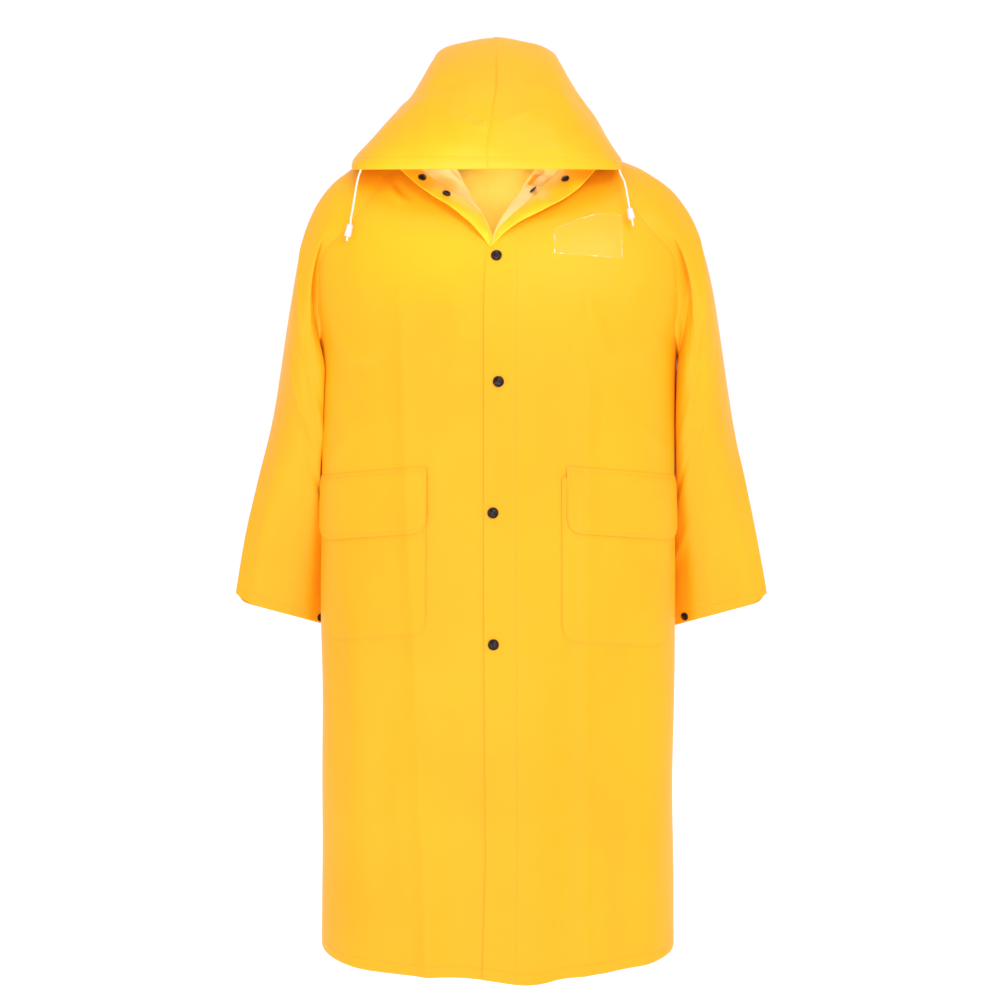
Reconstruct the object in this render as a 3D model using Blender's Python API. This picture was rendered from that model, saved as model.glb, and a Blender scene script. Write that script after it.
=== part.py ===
"""A long hooded raincoat of coated cloth, filled out as if worn, with nobody in it.

Metres, +Z up. The coat faces -Y, and its left side, as its wearer has it, is at +X. The origin is at the
height of the shoulders, in the middle of the neck. Every piece of cloth is a closed wall. The coat's body
is one family of rings, from the neck to the hem, and each panel is a stretch of them between its seams.
"""

import math

import bmesh
import bpy
import numpy as np
from mathutils import Vector

# ---------------------------------------------------------------- cloth and gaps
WALL = 0.0013  # coated cloth with its backing
BAND_WALL = 0.0010  # pockets, flaps and facings
GAP = 0.0003  # between neighbouring pieces
SEAM_GAP = 0.0005  # where two pieces meet edge to edge at an angle
RIGHT, LEFT = -1, 1  # the wearer's right is at -X

# ---------------------------------------------------------------- the rings of the body
# Each ring is an oval through its widest points at the sides, its front and its back. Its height changes
# from the sides to the front and the back as the cosine of the angle to the power "bow".
RING_COLUMNS = ("half_width", "side_z", "mid_y", "front_y", "front_z", "back_y", "back_z", "bow")
RINGS = (
    (0.088, 0.050, 0.010, -0.072, -0.020, 0.088, 0.060, 2.0),  # neck
    (0.130, 0.042, 0.008, -0.098, -0.040, 0.105, 0.045, 2.0),
    (0.172, 0.034, 0.005, -0.117, -0.060, 0.117, 0.022, 2.0),
    (0.208, 0.026, 0.002, -0.130, -0.080, 0.124, -0.005, 2.0),
    (0.240, 0.012, 0.000, -0.139, -0.102, 0.128, -0.035, 2.0),  # shoulder
    (0.266, -0.010, -0.003, -0.145, -0.126, 0.130, -0.067, 2.0),
    (0.283, -0.045, -0.006, -0.149, -0.152, 0.130, -0.100, 2.0),
    (0.290, -0.090, -0.010, -0.152, -0.180, 0.128, -0.138, 2.0),  # upper arm
    (0.287, -0.140, -0.014, -0.153, -0.212, 0.125, -0.176, 2.0),
    (0.280, -0.180, -0.017, -0.153, -0.235, 0.123, -0.205, 2.0),  # armhole starts to turn under
    (0.272, -0.215, -0.019, -0.153, -0.258, 0.121, -0.234, 2.0),
    (0.266, -0.250, -0.020, -0.153, -0.285, 0.120, -0.262, 2.0),  # underarm
    (0.264, -0.330, -0.020, -0.153, -0.350, 0.119, -0.338, 2.0),
    (0.263, -0.460, -0.020, -0.152, -0.468, 0.119, -0.464, 1.6),
    (0.263, -0.620, -0.020, -0.151, -0.622, 0.120, -0.621, 1.3),
    (0.261, -0.780, -0.020, -0.150, -0.781, 0.122, -0.781, 1.1),
    (0.260, -0.930, -0.020, -0.150, -0.936, 0.124, -0.935, 0.9),
    (0.261, -1.040, -0.020, -0.150, -1.063, 0.126, -1.060, 0.8),
    (0.262, -1.115, -0.020, -0.150, -1.149, 0.126, -1.146, 0.7),  # hem
)
NECK_RING, ARMHOLE_TURN, UNDERARM_RING, HEM_RING = 0, 9, 11, len(RINGS) - 1
OVAL_POWER = 0.87  # 1 is an ellipse, less is squarer
HEM_DIP = (0.040, 0.050, 0.009)  # the left front hangs lower: where, how wide, how much
HEM_DIP_RINGS = 2.5  # rings over which it does

# ---------------------------------------------------------------- seams and edges
# Each is a distance from the middle by height.
RAGLAN_COLUMNS = ("z", "front_x", "back_x")
RAGLAN = (
    (0.047, 0.084, 0.082),
    (0.036, 0.112, 0.110),
    (0.027, 0.138, 0.135),
    (0.017, 0.160, 0.150),
    (-0.012, 0.177, 0.170),
    (-0.040, 0.197, 0.186),
    (-0.072, 0.221, 0.204),
    (-0.100, 0.251, 0.222),
    (-0.120, 0.260, 0.234),
    (-0.170, 0.2625, 0.250),
    (-0.240, 0.264, 0.256),
)
# The front edges leave the lap at the foot of the V and follow the roll lines up to the neck. A negative
# value is past the middle, so the right front runs on under the left one.
EDGE_COLUMNS = ("z", "right_x", "left_x")
FRONT_EDGES = (
    (0.0215, 0.0619, 0.0575),
    (-0.005, 0.0469, 0.0385),
    (-0.0277, 0.0364, 0.0230),
    (-0.0515, 0.0218, 0.0080),
    (-0.0801, 0.0101, -0.0045),
    (-0.0960, 0.0080, -0.0090),
    (-0.1080, -0.0120, -0.0157),
    (-0.1250, -0.0260, -0.0175),
    (-0.1800, -0.0260, -0.0200),
    (-0.6100, -0.0260, -0.0200),
    (-0.9800, -0.0260, -0.0171),
    (-1.1500, -0.0260, -0.0221),
)
LAP_RISE = WALL + 0.0006  # the left front lies on the right one
LAP_FLAT, LAP_FADED = 0.030, 0.070  # where that lift ends, from the middle
V_FOOT_Z, LAP_START = -0.096, 0.034
SIDE_SEAM_TURN = 0.0006  # radians from the side to each edge of the side seam
SEAM_FROM, EDGE_FROM = 0.3, -0.6  # radians from the front that a seam and a front's edge are sought from
WALK_POINTS = 160  # points that a length along a ring is measured with

# ---------------------------------------------------------------- creases and folds of the body
# A line down the cloth at x_top to x_bottom, from z_top to z_bottom, raised (or sunk) by "height".
FOLD_COLUMNS = ("face", "x_top", "x_bottom", "z_top", "z_bottom", "height", "width")
FOLDS = (
    ("front", -0.143, -0.101, -0.120, -1.200, 0.0042, 0.013),
    ("front", 0.129, 0.124, -0.120, -1.200, 0.0042, 0.013),
    ("front", -0.214, -0.196, -0.480, -1.200, 0.0060, 0.034),
    ("front", -0.046, -0.058, -0.640, -1.200, -0.0050, 0.026),
    ("front", 0.066, 0.060, -0.560, -1.200, 0.0058, 0.028),
    ("front", 0.190, 0.186, -0.520, -1.200, -0.0056, 0.030),
    ("back", 0.000, 0.004, -0.150, -1.200, 0.0040, 0.013),
    ("back", -0.132, -0.120, -0.180, -1.200, 0.0038, 0.014),
    ("back", 0.128, 0.136, -0.200, -1.200, 0.0038, 0.014),
    ("back", -0.190, -0.205, -0.420, -1.200, -0.0060, 0.032),
    ("back", -0.062, -0.070, -0.380, -1.200, -0.0052, 0.030),
    ("back", 0.070, 0.064, -0.460, -1.200, 0.0056, 0.030),
    ("back", 0.205, 0.200, -0.360, -1.200, 0.0054, 0.034),
)
FOLD_FADE = 0.22  # length over which a fold rises at its ends

# ---------------------------------------------------------------- how finely the panels are divided
YOKE_ROWS, SKIRT_ROWS = 9, 14  # rows above the armhole's turn and below the underarm
TURN_STEPS = (0, 34, 64, 90)  # degrees round the turn of the armhole
GUIDE_RING = 7  # from here down, the columns of a panel follow its folds
GUIDE_SPAN = (-0.120, -1.200)  # the heights of a fold line's two ends
SHARP_WIDTH, WIDEST_COLUMN = 0.020, 0.048

# ---------------------------------------------------------------- sleeves
# Rings of the tube below the underarm, from the top to the cuff. "outer" is the reach from the middle.
SLEEVE_COLUMNS = (
    "outer_right",
    "outer_left",
    "outer_z",
    "half_width",
    "half_depth",
    "mid_y",
    "tilt",
    "turn",
)
SLEEVE_RINGS = (
    (0.326, 0.341, -0.262, 0.038, 0.092, 0.014, 14.0, 4.0),
    (0.341, 0.355, -0.345, 0.046, 0.085, 0.020, 14.0, 8.0),
    (0.364, 0.374, -0.440, 0.058, 0.072, 0.030, 14.0, 12.0),
    (0.384, 0.393, -0.530, 0.070, 0.058, 0.042, 15.0, 15.0),
    (0.3965, 0.4065, -0.617, 0.080, 0.046, 0.054, 15.5, 17.0),
)
NECK_STEPS = 2  # points of each half of its neck edge
CAP_ROWS, TUBE_ROWS = 8, 11
ARRIVE_STEP = 0.25  # rings down the tube that give the way the shoulder meets it
NECK_HALF_TURN = 12.0  # degrees of the tube that the sleeve's neck edge takes, each side of its top line
CAP_PULL_TOP, CAP_PULL_SIDE = 1.45, 0.85  # how full the shoulder is over the top and at the underarm
SHOULDER_SLOPE = {RIGHT: 0.20, LEFT: 0.10}  # the sleeve leaves the neck along the shoulder, upwards
SHOULDER_REACH = 0.90  # how far down the armhole it still leans that way, as a share
BACK_LEAN, LEAN_FULL = 0.35, 0.09  # at the back it leans forwards too, in full from this share down
PULL_REACH = 0.60  # how far down the armhole the fullness changes, as a share
UNDERARM_FROM, UNDERARM_SPAN = 0.60, 0.30  # where on the armhole the sleeve turns down, as shares
UNDERARM_WAY = (0.45, -0.90)  # out and up, the way it leaves the body there
BODY_CLEARANCE = 0.0050  # the sleeve hangs just clear of the body
CLEARING_SOFTNESS = 0.004  # how gently it bends away where it would touch
CUFF_CORNER_RISE = 0.012
# A crease or fold of the sleeve: where round the tube (degrees from its outer line, front positive), how
# far down it starts and ends, its height and its width in degrees.
SLEEVE_FOLD_COLUMNS = ("turn_top", "turn_bottom", "down_top", "down_bottom", "height", "width")
SLEEVE_FOLDS = (
    (14.0, 10.0, 0.25, 1.05, 0.0030, 10.0),
    (80.0, 64.0, 0.35, 1.05, -0.0045, 20.0),
    (-60.0, -78.0, 0.30, 1.05, 0.0045, 22.0),
)
SLEEVE_FOLD_FADE = 0.25  # share of the sleeve over which a fold rises

# ---------------------------------------------------------------- hood
# Each row runs from the neck seam over the side of the hood to the centre seam. Rows go from the face edge
# to the back of the neck. "neck" is the place on the neck ring, in degrees from the centre front.
HOOD_COLUMNS = ("centre_y", "centre_z", "half_width", "side_y", "side_z", "neck", "tent")
HOOD_ROWS = (
    (-0.150, 0.0085, 0.197, -0.085, 0.0180, 44.0, 0.00),  # face edge, the brim
    (-0.156, 0.045, 0.1975, -0.070, 0.0215, 53.0, 0.60),
    (-0.144, 0.095, 0.1990, -0.050, 0.0255, 63.0, 0.80),
    (-0.118, 0.145, 0.2000, -0.030, 0.0290, 73.0, 0.90),
    (-0.078, 0.190, 0.2000, -0.010, 0.0310, 83.0, 0.96),
    (-0.028, 0.222, 0.1990, 0.012, 0.0320, 93.0, 1.00),
    (0.024, 0.229, 0.1920, 0.035, 0.0330, 103.0, 1.00),  # crown
    (0.072, 0.207, 0.1750, 0.060, 0.0330, 115.0, 0.95),
    (0.106, 0.166, 0.153, 0.085, 0.0340, 129.0, 0.80),
    (0.124, 0.122, 0.117, 0.106, 0.0390, 144.0, 0.60),
    (0.124, 0.092, 0.070, 0.110, 0.0520, 157.0, 0.40),
    (0.0895, 0.0640, 0.016, 0.0890, 0.0628, 168.0, 0.00),  # back of the neck
)
# The hood's outline from the front: share of its half width at a share of its height.
HOOD_OUTLINE_COLUMNS = ("width_share", "height_share")
HOOD_OUTLINE = (
    (1.000, 0.000),
    (0.950, 0.066),
    (0.868, 0.200),
    (0.765, 0.370),
    (0.640, 0.530),
    (0.545, 0.690),
    (0.470, 0.825),
    (0.400, 0.890),
    (0.275, 0.945),
    (0.130, 0.982),
    (0.000, 1.000),
)
HOOD_LEAN_COLUMNS = ("z", "x")  # the slumped hood leans to the right, as far back as a row
HOOD_LEAN_ROW, HOOD_LEAN_FADE = 7.0, 4.0
HOOD_LEAN = (
    (0.008, -0.016),
    (0.045, -0.016),
    (0.090, -0.009),
    (0.130, -0.003),
    (0.195, -0.003),
    (0.229, -0.006),
)
HOOD_NECK_LIFT = 0.0014
HOOD_SHOULDER_RISE = {RIGHT: 0.0190, LEFT: 0.0125}  # it rides over the sleeve on its way from neck to side
HOOD_SIDE_RAISE = {RIGHT: 0.0092, LEFT: 0.0138}  # how much higher its side is halfway back
HOOD_SEAM_GAP = 0.0008
HOOD_STEPS, HOOD_OVER, HOOD_UNDER = 13, 12, 3  # rows, and points of a row over the hood and under its side

# ---------------------------------------------------------------- turned-open tops of the fronts
# Roll line and free edge, from the foot of the V to the neck, and the share that the facing covers.
LAPEL_COLUMNS = ("roll_x", "roll_z", "edge_x", "edge_z", "facing_share")
LAPELS = {
    RIGHT: (
        (-0.0092, -0.0880, -0.0145, -0.0945, 0.97),
        (-0.0101, -0.0801, -0.0257, -0.0804, 0.97),
        (-0.0218, -0.0515, -0.0588, -0.0476, 0.97),
        (-0.0364, -0.0277, -0.0966, -0.0210, 0.80),
        (-0.0469, -0.0050, -0.1231, 0.0014, 0.48),
        (-0.0600, 0.0175, -0.1366, 0.0145, 0.33),
    ),
    LEFT: (
        (-0.0070, -0.0900, -0.0075, -0.0975, 0.80),
        (0.0000, -0.0680, 0.0186, -0.0716, 0.68),
        (0.0189, -0.0342, 0.0689, -0.0429, 0.64),
        (0.0322, -0.0146, 0.0950, -0.0275, 0.66),
        (0.0456, 0.0067, 0.1193, -0.0080, 0.66),
        (0.0570, 0.0175, 0.1322, 0.0102, 0.62),
    ),
}
LAPEL_ROOT_LIFT, LAPEL_EDGE_LIFT = WALL + 0.0008, 0.0125
LAPEL_FOOT_SHARE, LAPEL_OPENED = 0.45, 0.35  # share of the rise at the foot, and how far up it is in full
LAPEL_ROWS = 13
LAPEL_BARE_STEPS = (0.0, 0.45, 0.90)  # shares of the bare stretch, then of the faced one
LAPEL_FACED_STEPS = (0.0, 0.33, 0.67, 1.0)

# ---------------------------------------------------------------- pockets, flaps and the clear pocket
FLAP_TOP_Z, FLAP_FOOT_Z = -0.417, -0.512
FLAP_SIDE_DROP = 0.012  # the flap's outer end sits lower
FLAP_INNER_X, FLAP_OUTER_X = {RIGHT: 0.1015, LEFT: 0.0985}, 0.2615
FLAP_CORNER = 0.020
FLAP_STAND_OFF = 0.0045
POCKET_TOP_Z = -0.432
POCKET_FOOT_Z = {RIGHT: -0.658, LEFT: -0.668}
POCKET_INNER_X = {RIGHT: 0.1030, LEFT: 0.0915}
POCKET_OUTER_X = 0.2510
CORNER_STEPS = (0, 35, 62, 90)  # degrees of a round corner that its points stand at
CLOSEST_COLUMNS = 0.0012
ROW_CLEAR_ABOVE, ROW_CLEAR_BELOW = 0.12, 0.05  # rows of the panel that a patch leaves out near its ends
LEAST_DROP = 0.004  # a row of a patch stays this far above its foot
POCKET_CORNER = 0.022
ID_POCKET_X = (0.0805, 0.1790)
ID_POCKET_FOOT_Z = (-0.1115, -0.1173)
ID_POCKET_TOP = ((0.0, -0.0745), (0.35, -0.0655), (0.62, -0.0570), (0.80, -0.0510), (1.0, -0.0540))
ID_POCKET_WALL = 0.0010
ID_POCKET_GAPE = 0.0040
ID_POCKET_POINTS = (9, 5)  # across and down

# ---------------------------------------------------------------- snaps, cords and toggles
FRONT_SNAP_D, SMALL_SNAP_D = 0.0155, 0.0122
SNAP_RISE = 0.0032
FRONT_SNAPS = ((-0.0021, -0.1153), (0.0007, -0.2960), (-0.0071, -0.4835), (-0.0064, -0.6718))  # x, z
NECK_SNAPS = (  # side, up from the foot of the V, across from the roll line
    (RIGHT, 0.860, 0.77),
    (RIGHT, 0.620, 0.60),
    (LEFT, 0.865, 0.645),
    (LEFT, 0.650, 0.25),
)
CUFF_SNAP_TURN = {RIGHT: 118.0, LEFT: 112.0}  # degrees round the tube from its outer line
CUFF_SNAP_UP = 0.011
NECK_SNAP_LIFT, CUFF_SNAP_LIFT = 0.0001, 0.0007  # a flat foot stands this far off a bent cloth
CLOTH_BEND = 0.30  # radius of the fronts where the snaps sit
CORD_D = 0.0028
CORD_ROUTES = {
    RIGHT: (
        (-0.1985, -0.1092, 0.0136),
        (-0.2018, -0.1100, 0.0040),
        (-0.2045, -0.1115, -0.0083),
        (-0.2067, -0.1132, -0.0225),
        (-0.2098, -0.1155, -0.0426),
        (-0.2122, -0.1175, -0.0570),
        (-0.2131, -0.1190, -0.0670),
        (-0.2152, -0.1195, -0.0760),
        (-0.2173, -0.1200, -0.0846),
        (-0.2180, -0.1200, -0.0911),
    ),
    LEFT: (
        (0.1764, -0.0990, 0.0152),
        (0.1794, -0.1028, 0.0060),
        (0.1826, -0.1075, -0.0015),
        (0.1851, -0.1120, -0.0120),
        (0.1869, -0.1150, -0.0239),
        (0.1886, -0.1180, -0.0340),
        (0.1900, -0.1205, -0.0440),
        (0.1914, -0.1220, -0.0515),
        (0.1930, -0.1230, -0.0593),
        (0.1952, -0.1235, -0.0698),
    ),
}
TOGGLE_SPAN = {RIGHT: (6, 8), LEFT: (6, 8)}  # the route's points at its top and its foot
# Bell toggle, turned about the cord: share of its length, radius.
TOGGLE_PROFILE = ((0.00, 0.0029), (0.10, 0.0034), (0.55, 0.0041), (0.90, 0.0046), (1.00, 0.0044))
TOGGLE_BORE = CORD_D / 2 + 0.0005
CORD_STEP = 2.5  # diameters
FINE_STEPS = 400  # points that a cord's route is measured with

FINISHES = {  # sRGB colour, roughness, metallic
    "coated_cloth": ((0.996, 0.784, 0.196), 0.38, 0.0),
    "cloth_backing": ((1.0, 0.839, 0.549), 0.8, 0.0),
    "clear_vinyl": ((0.98, 0.85, 0.42), 0.12, 0.0),
    "snap_metal": ((0.16, 0.13, 0.12), 0.35, 0.9),
    "white_cord": ((0.95, 0.94, 0.91), 0.8, 0.0),
    "white_plastic": ((0.96, 0.96, 0.95), 0.35, 0.0),
}


# ================================================================ small helpers
def column(columns, rows, name):
    return np.array([row[columns.index(name)] for row in rows], float)


def smooth(values, place):
    """The Catmull-Rom curve through evenly spaced values, at a place counted in rows."""
    values = np.asarray(values, float)
    place = np.clip(np.asarray(place, float), 0, len(values) - 1)
    first = np.minimum(place.astype(int), len(values) - 2)
    t = place - first
    ends = (2 * values[:1] - values[1:2], 2 * values[-1:] - values[-2:-1])
    padded = np.concatenate([ends[0], values, ends[1]])
    a, b, c, d = (padded[first + k] for k in range(4))
    return b + 0.5 * t * (c - a + t * (2 * a - 5 * b + 4 * c - d + t * (3 * (b - c) + d - a)))


def by_height(columns, rows, name, z):
    heights = column(columns, rows, "z")
    order = np.argsort(heights)
    return np.interp(z, heights[order], column(columns, rows, name)[order])


def ease(t):
    t = np.clip(t, 0.0, 1.0)
    return t * t * (3 - 2 * t)


def unit(vectors):
    return vectors / np.maximum(np.linalg.norm(vectors, axis=-1, keepdims=True), 1e-12)


def solve(function, low, high, steps=46):
    """Where an increasing function crosses zero, by halving, for whole arrays at once."""
    low, high = np.broadcast_arrays(np.asarray(low, float), np.asarray(high, float))
    low, high = low.copy(), high.copy()
    for _ in range(steps):
        middle = (low + high) / 2
        below = function(middle) < 0
        low, high = np.where(below, middle, low), np.where(below, high, middle)
    return (low + high) / 2


# ================================================================ the body's surface
def ring_value(name, ring):
    return smooth(column(RING_COLUMNS, RINGS, name), ring)


def bare_skin(ring, angle):
    """A point of the body without its folds. The angle is 0 at the front and grows to the wearer's left."""
    ring, angle = np.broadcast_arrays(np.asarray(ring, float), np.asarray(angle, float))
    value = {name: ring_value(name, ring) for name in RING_COLUMNS}
    sine, cosine = np.sin(angle), np.cos(angle)
    front = cosine >= 0
    reach = np.abs(cosine) ** OVAL_POWER
    end_y = np.where(front, value["front_y"], value["back_y"])
    end_z = np.where(front, value["front_z"], value["back_z"])
    x = value["half_width"] * np.sign(sine) * np.abs(sine) ** OVAL_POWER
    y = value["mid_y"] + (end_y - value["mid_y"]) * reach
    z = value["side_z"] + (end_z - value["side_z"]) * np.abs(cosine) ** value["bow"]
    near_hem = ease((ring - (HEM_RING - HEM_DIP_RINGS)) / HEM_DIP_RINGS)
    dip_x, dip_width, dip = HEM_DIP
    z = z - np.where(front, dip * near_hem * np.exp(-(((x - dip_x) / dip_width) ** 2)), 0.0)
    return np.stack([x, y, z], axis=-1)


def fold_height(points, front):
    total = np.zeros(points.shape[:-1])
    x, z = points[..., 0], points[..., 2]
    for face, x_top, x_bottom, z_top, z_bottom, height, width in FOLDS:
        down = (z_top - z) / (z_top - z_bottom)
        line = x_top + (x_bottom - x_top) * np.clip(down, 0, 1)
        fade = ease((z_top - z) / FOLD_FADE) * ease((z - z_bottom) / FOLD_FADE + 1)
        here = front if face == "front" else ~front
        total += np.where(here, height * fade * np.exp(-(((x - line) / width) ** 2)), 0.0)
    return total


def skin_normal(ring, angle):
    """The outward normal, from short steps along the rings and across them."""
    step = 1e-3
    ring = np.clip(ring, step, HEM_RING - step)
    across = bare_skin(ring, angle + step) - bare_skin(ring, angle - step)
    down = bare_skin(ring + step, angle) - bare_skin(ring - step, angle)
    return unit(np.cross(down, across))


def skin(ring, angle, lift=0.0):
    """A point of the body's outer face, with its folds, moved out by lift."""
    ring, angle = np.broadcast_arrays(np.asarray(ring, float), np.asarray(angle, float))
    bare = bare_skin(ring, angle)
    rise = fold_height(bare, np.cos(angle) >= 0)
    return bare + (rise + lift)[..., None] * skin_normal(ring, angle)


def ring_at(angle, z):
    """The ring that passes through a height at an angle."""
    start = np.zeros(np.shape(z + angle))
    return solve(lambda ring: z - bare_skin(ring, angle)[..., 2], start, HEM_RING)


def angle_for_x(ring, x):
    """The angle on the front half of a ring at a distance x from the middle."""
    share = np.clip(np.abs(x) / ring_value("half_width", ring), 0, 1)
    return np.sign(x) * np.arcsin(share ** (1 / OVAL_POWER))


def place_on_front(x, z):
    """The ring and the angle of the point of the front at x and z."""
    x, z = np.broadcast_arrays(np.asarray(x, float), np.asarray(z, float))
    ring = solve(lambda r: z - bare_skin(r, angle_for_x(r, x))[..., 2], np.zeros(x.shape), HEM_RING)
    return ring, angle_for_x(ring, x)


def on_front(x, z, lift):
    """A point that lies over the front by lift and is at x and z; above the neck it goes straight up."""
    x, z, lift = np.broadcast_arrays(*(np.asarray(v, float) for v in (x, z, lift)))
    foot_x, foot_z = x, z
    for _ in range(4):
        ring, angle = place_on_front(foot_x, foot_z)
        normal = skin_normal(ring, angle)
        foot_x, foot_z = x - lift * normal[..., 0], z - lift * normal[..., 2]
    point = skin(ring, angle, lift)
    point[..., 2] += np.maximum(z - point[..., 2], 0)
    return point


def seam_angle(ring, front):
    """The raglan seam's angle on a ring. Below the underarm it is the side seam."""
    ring = np.asarray(ring, float)
    name = "front_x" if front else "back_x"
    half = math.pi / 2

    def past_seam(rings, turn):
        points = bare_skin(rings, turn if front else math.pi - turn)
        return points[..., 0] - by_height(RAGLAN_COLUMNS, RAGLAN, name, points[..., 2])

    capped = np.minimum(ring, ARMHOLE_TURN)
    turn = solve(lambda t: past_seam(capped, t), np.full(ring.shape, SEAM_FROM), half)
    under = np.clip((ring - ARMHOLE_TURN) / (UNDERARM_RING - ARMHOLE_TURN), 0, 1)
    turn = turn + (half - turn) * (1 - np.sqrt(1 - under**2))
    return turn if front else math.pi - turn


def edge_angle(ring, side):
    """The angle of a front's inner edge on a ring, counted towards its own side."""
    ring = np.asarray(ring, float)
    name = "right_x" if side == RIGHT else "left_x"

    def past_edge(turn):
        points = bare_skin(ring, turn)
        return points[..., 0] - by_height(EDGE_COLUMNS, FRONT_EDGES, name, points[..., 2])

    return solve(past_edge, np.full(ring.shape, EDGE_FROM), math.pi / 2)


def walk(ring, start, end):
    """Angles along one ring from start to end, and how far along the cloth each one is."""
    angles = np.linspace(start, end, WALK_POINTS)
    steps = np.linalg.norm(np.diff(bare_skin(ring, angles), axis=0), axis=-1)
    return angles, np.concatenate([[0], np.cumsum(steps)])


def panel_rings():
    """Rings for the rows of the panels, closer together where the armhole turns under."""
    turn = ARMHOLE_TURN + (UNDERARM_RING - ARMHOLE_TURN) * np.sin(np.radians(TURN_STEPS))
    return np.concatenate(
        [
            np.linspace(NECK_RING, ARMHOLE_TURN, YOKE_ROWS, endpoint=False),
            turn,
            np.linspace(UNDERARM_RING, HEM_RING, SKIRT_ROWS + 1)[1:],
        ]
    )


def fold_guides(face, sides):
    """Lines down a panel, as x_top and x_bottom, that the grid follows so each fold has its points."""
    guides = []
    for name, x_top, x_bottom, _, _, _, width in FOLDS:
        side = LEFT if x_top >= 0 else RIGHT
        if name == face and side in sides:
            offsets = (-width, 0.0, width) if width < SHARP_WIDTH else (0.0,)
            guides += [(x_top + step, x_bottom + step) for step in offsets]
    if face == "front" and LEFT in sides:
        guides += [(LAP_FLAT, LAP_FLAT)]
    guides.sort()
    filled = []
    for guide, following in zip(guides, guides[1:] + [None]):
        filled.append(guide)
        if following and following[0] - guide[0] > WIDEST_COLUMN:
            filled.append(((guide[0] + following[0]) / 2, (guide[1] + following[1]) / 2))
    return filled


def guide_x(guide, z):
    top, foot = GUIDE_SPAN
    return np.interp(z, (foot, top), guide[::-1])


def place_columns(ring, starts, ends, guides, angle_of):
    """Angles of a row's points: its two ends and, between them, the guides."""
    level = max(ring, GUIDE_RING)
    start, end = starts(level), ends(level)
    angles, walked = walk(level, start, end)
    z = float(ring_value("side_z", level))
    inner = np.interp([angle_of(level, guide_x(g, z)) for g in guides], angles, walked) / walked[-1]
    shares = np.concatenate([[0, inner[0] / 2], inner, [(1 + inner[-1]) / 2, 1]])
    angles, walked = walk(ring, starts(ring), ends(ring))
    return np.interp(shares * walked[-1], walked, angles)


# ================================================================ making objects
def finish(name):
    if name in bpy.data.materials:
        return bpy.data.materials[name]
    colour, roughness, metallic = FINISHES[name]
    material = bpy.data.materials.new(name)
    material.use_nodes = True
    shader = material.node_tree.nodes["Principled BSDF"]
    linear = [c / 12.92 if c <= 0.04045 else ((c + 0.055) / 1.055) ** 2.4 for c in colour]
    shader.inputs["Base Color"].default_value = (*linear, 1.0)
    shader.inputs["Roughness"].default_value = roughness
    shader.inputs["Metallic"].default_value = metallic
    material.diffuse_color = (*linear, 1.0)
    return material


def add_object(name, mesh, finish_name):
    obj = bpy.data.objects.new(name, mesh)
    bpy.context.scene.collection.objects.link(obj)
    mesh.materials.append(finish(finish_name))
    return obj


def tube_normals(grid):
    """Normals of a grid whose last column meets its first one."""
    down = np.gradient(grid, axis=0)
    across = np.roll(grid, -1, axis=1) - np.roll(grid, 1, axis=1)
    return unit(np.cross(down, across))


def halfway(steps):
    """The way through each point of a line, halfway between the steps before and after it."""
    steps = unit(steps)
    return np.concatenate([steps[:1], unit(steps[:-1] + steps[1:]), steps[-1:]])


def sheet_normals(grid):
    """Normals of an open grid; at a sharp fold they stand halfway between its two sides."""
    down = halfway(np.diff(grid, axis=0))
    across = halfway(np.diff(grid, axis=1).swapaxes(0, 1)).swapaxes(0, 1)
    return unit(np.cross(down, across))


def add_wall(name, grid, normals, thickness, finish_name, closed=False):
    """A closed wall from the grid of its outer face; its other face lies thickness behind that."""
    rows, columns = grid.shape[:2]
    model = bmesh.new()
    outer = [[model.verts.new(p) for p in row] for row in grid]
    inner = [[model.verts.new(p) for p in row] for row in grid - thickness * normals]
    around = columns if closed else columns - 1
    for i in range(rows - 1):
        for j in range(around):
            k = (j + 1) % columns
            model.faces.new((outer[i][j], outer[i + 1][j], outer[i + 1][k], outer[i][k]))
            model.faces.new((inner[i][j], inner[i][k], inner[i + 1][k], inner[i + 1][j]))
    for j in range(around):
        k = (j + 1) % columns
        model.faces.new((outer[0][j], outer[0][k], inner[0][k], inner[0][j]))
        model.faces.new((outer[-1][j], inner[-1][j], inner[-1][k], outer[-1][k]))
    if not closed:
        for i in range(rows - 1):
            model.faces.new((outer[i][0], inner[i][0], inner[i + 1][0], outer[i + 1][0]))
            model.faces.new((outer[i][-1], outer[i + 1][-1], inner[i + 1][-1], inner[i][-1]))
    bmesh.ops.recalc_face_normals(model, faces=model.faces)
    if model.calc_volume(signed=True) < 0:
        bmesh.ops.reverse_faces(model, faces=model.faces)
    mesh = bpy.data.meshes.new(name)
    model.to_mesh(mesh)
    model.free()
    mesh.shade_smooth()
    mesh.set_sharp_from_angle(angle=math.radians(40))
    return add_object(name, mesh, finish_name)


# ================================================================ fronts and back
def lap_lift(points, side):
    """The left front's rise over the right one, near the middle and below the V."""
    if side == RIGHT:
        return np.zeros(points.shape[:-1])
    near = 1 - ease((points[..., 0] - LAP_FLAT) / (LAP_FADED - LAP_FLAT))
    return LAP_RISE * near * ease((V_FOOT_Z + LAP_START - points[..., 2]) / LAP_START)


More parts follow.
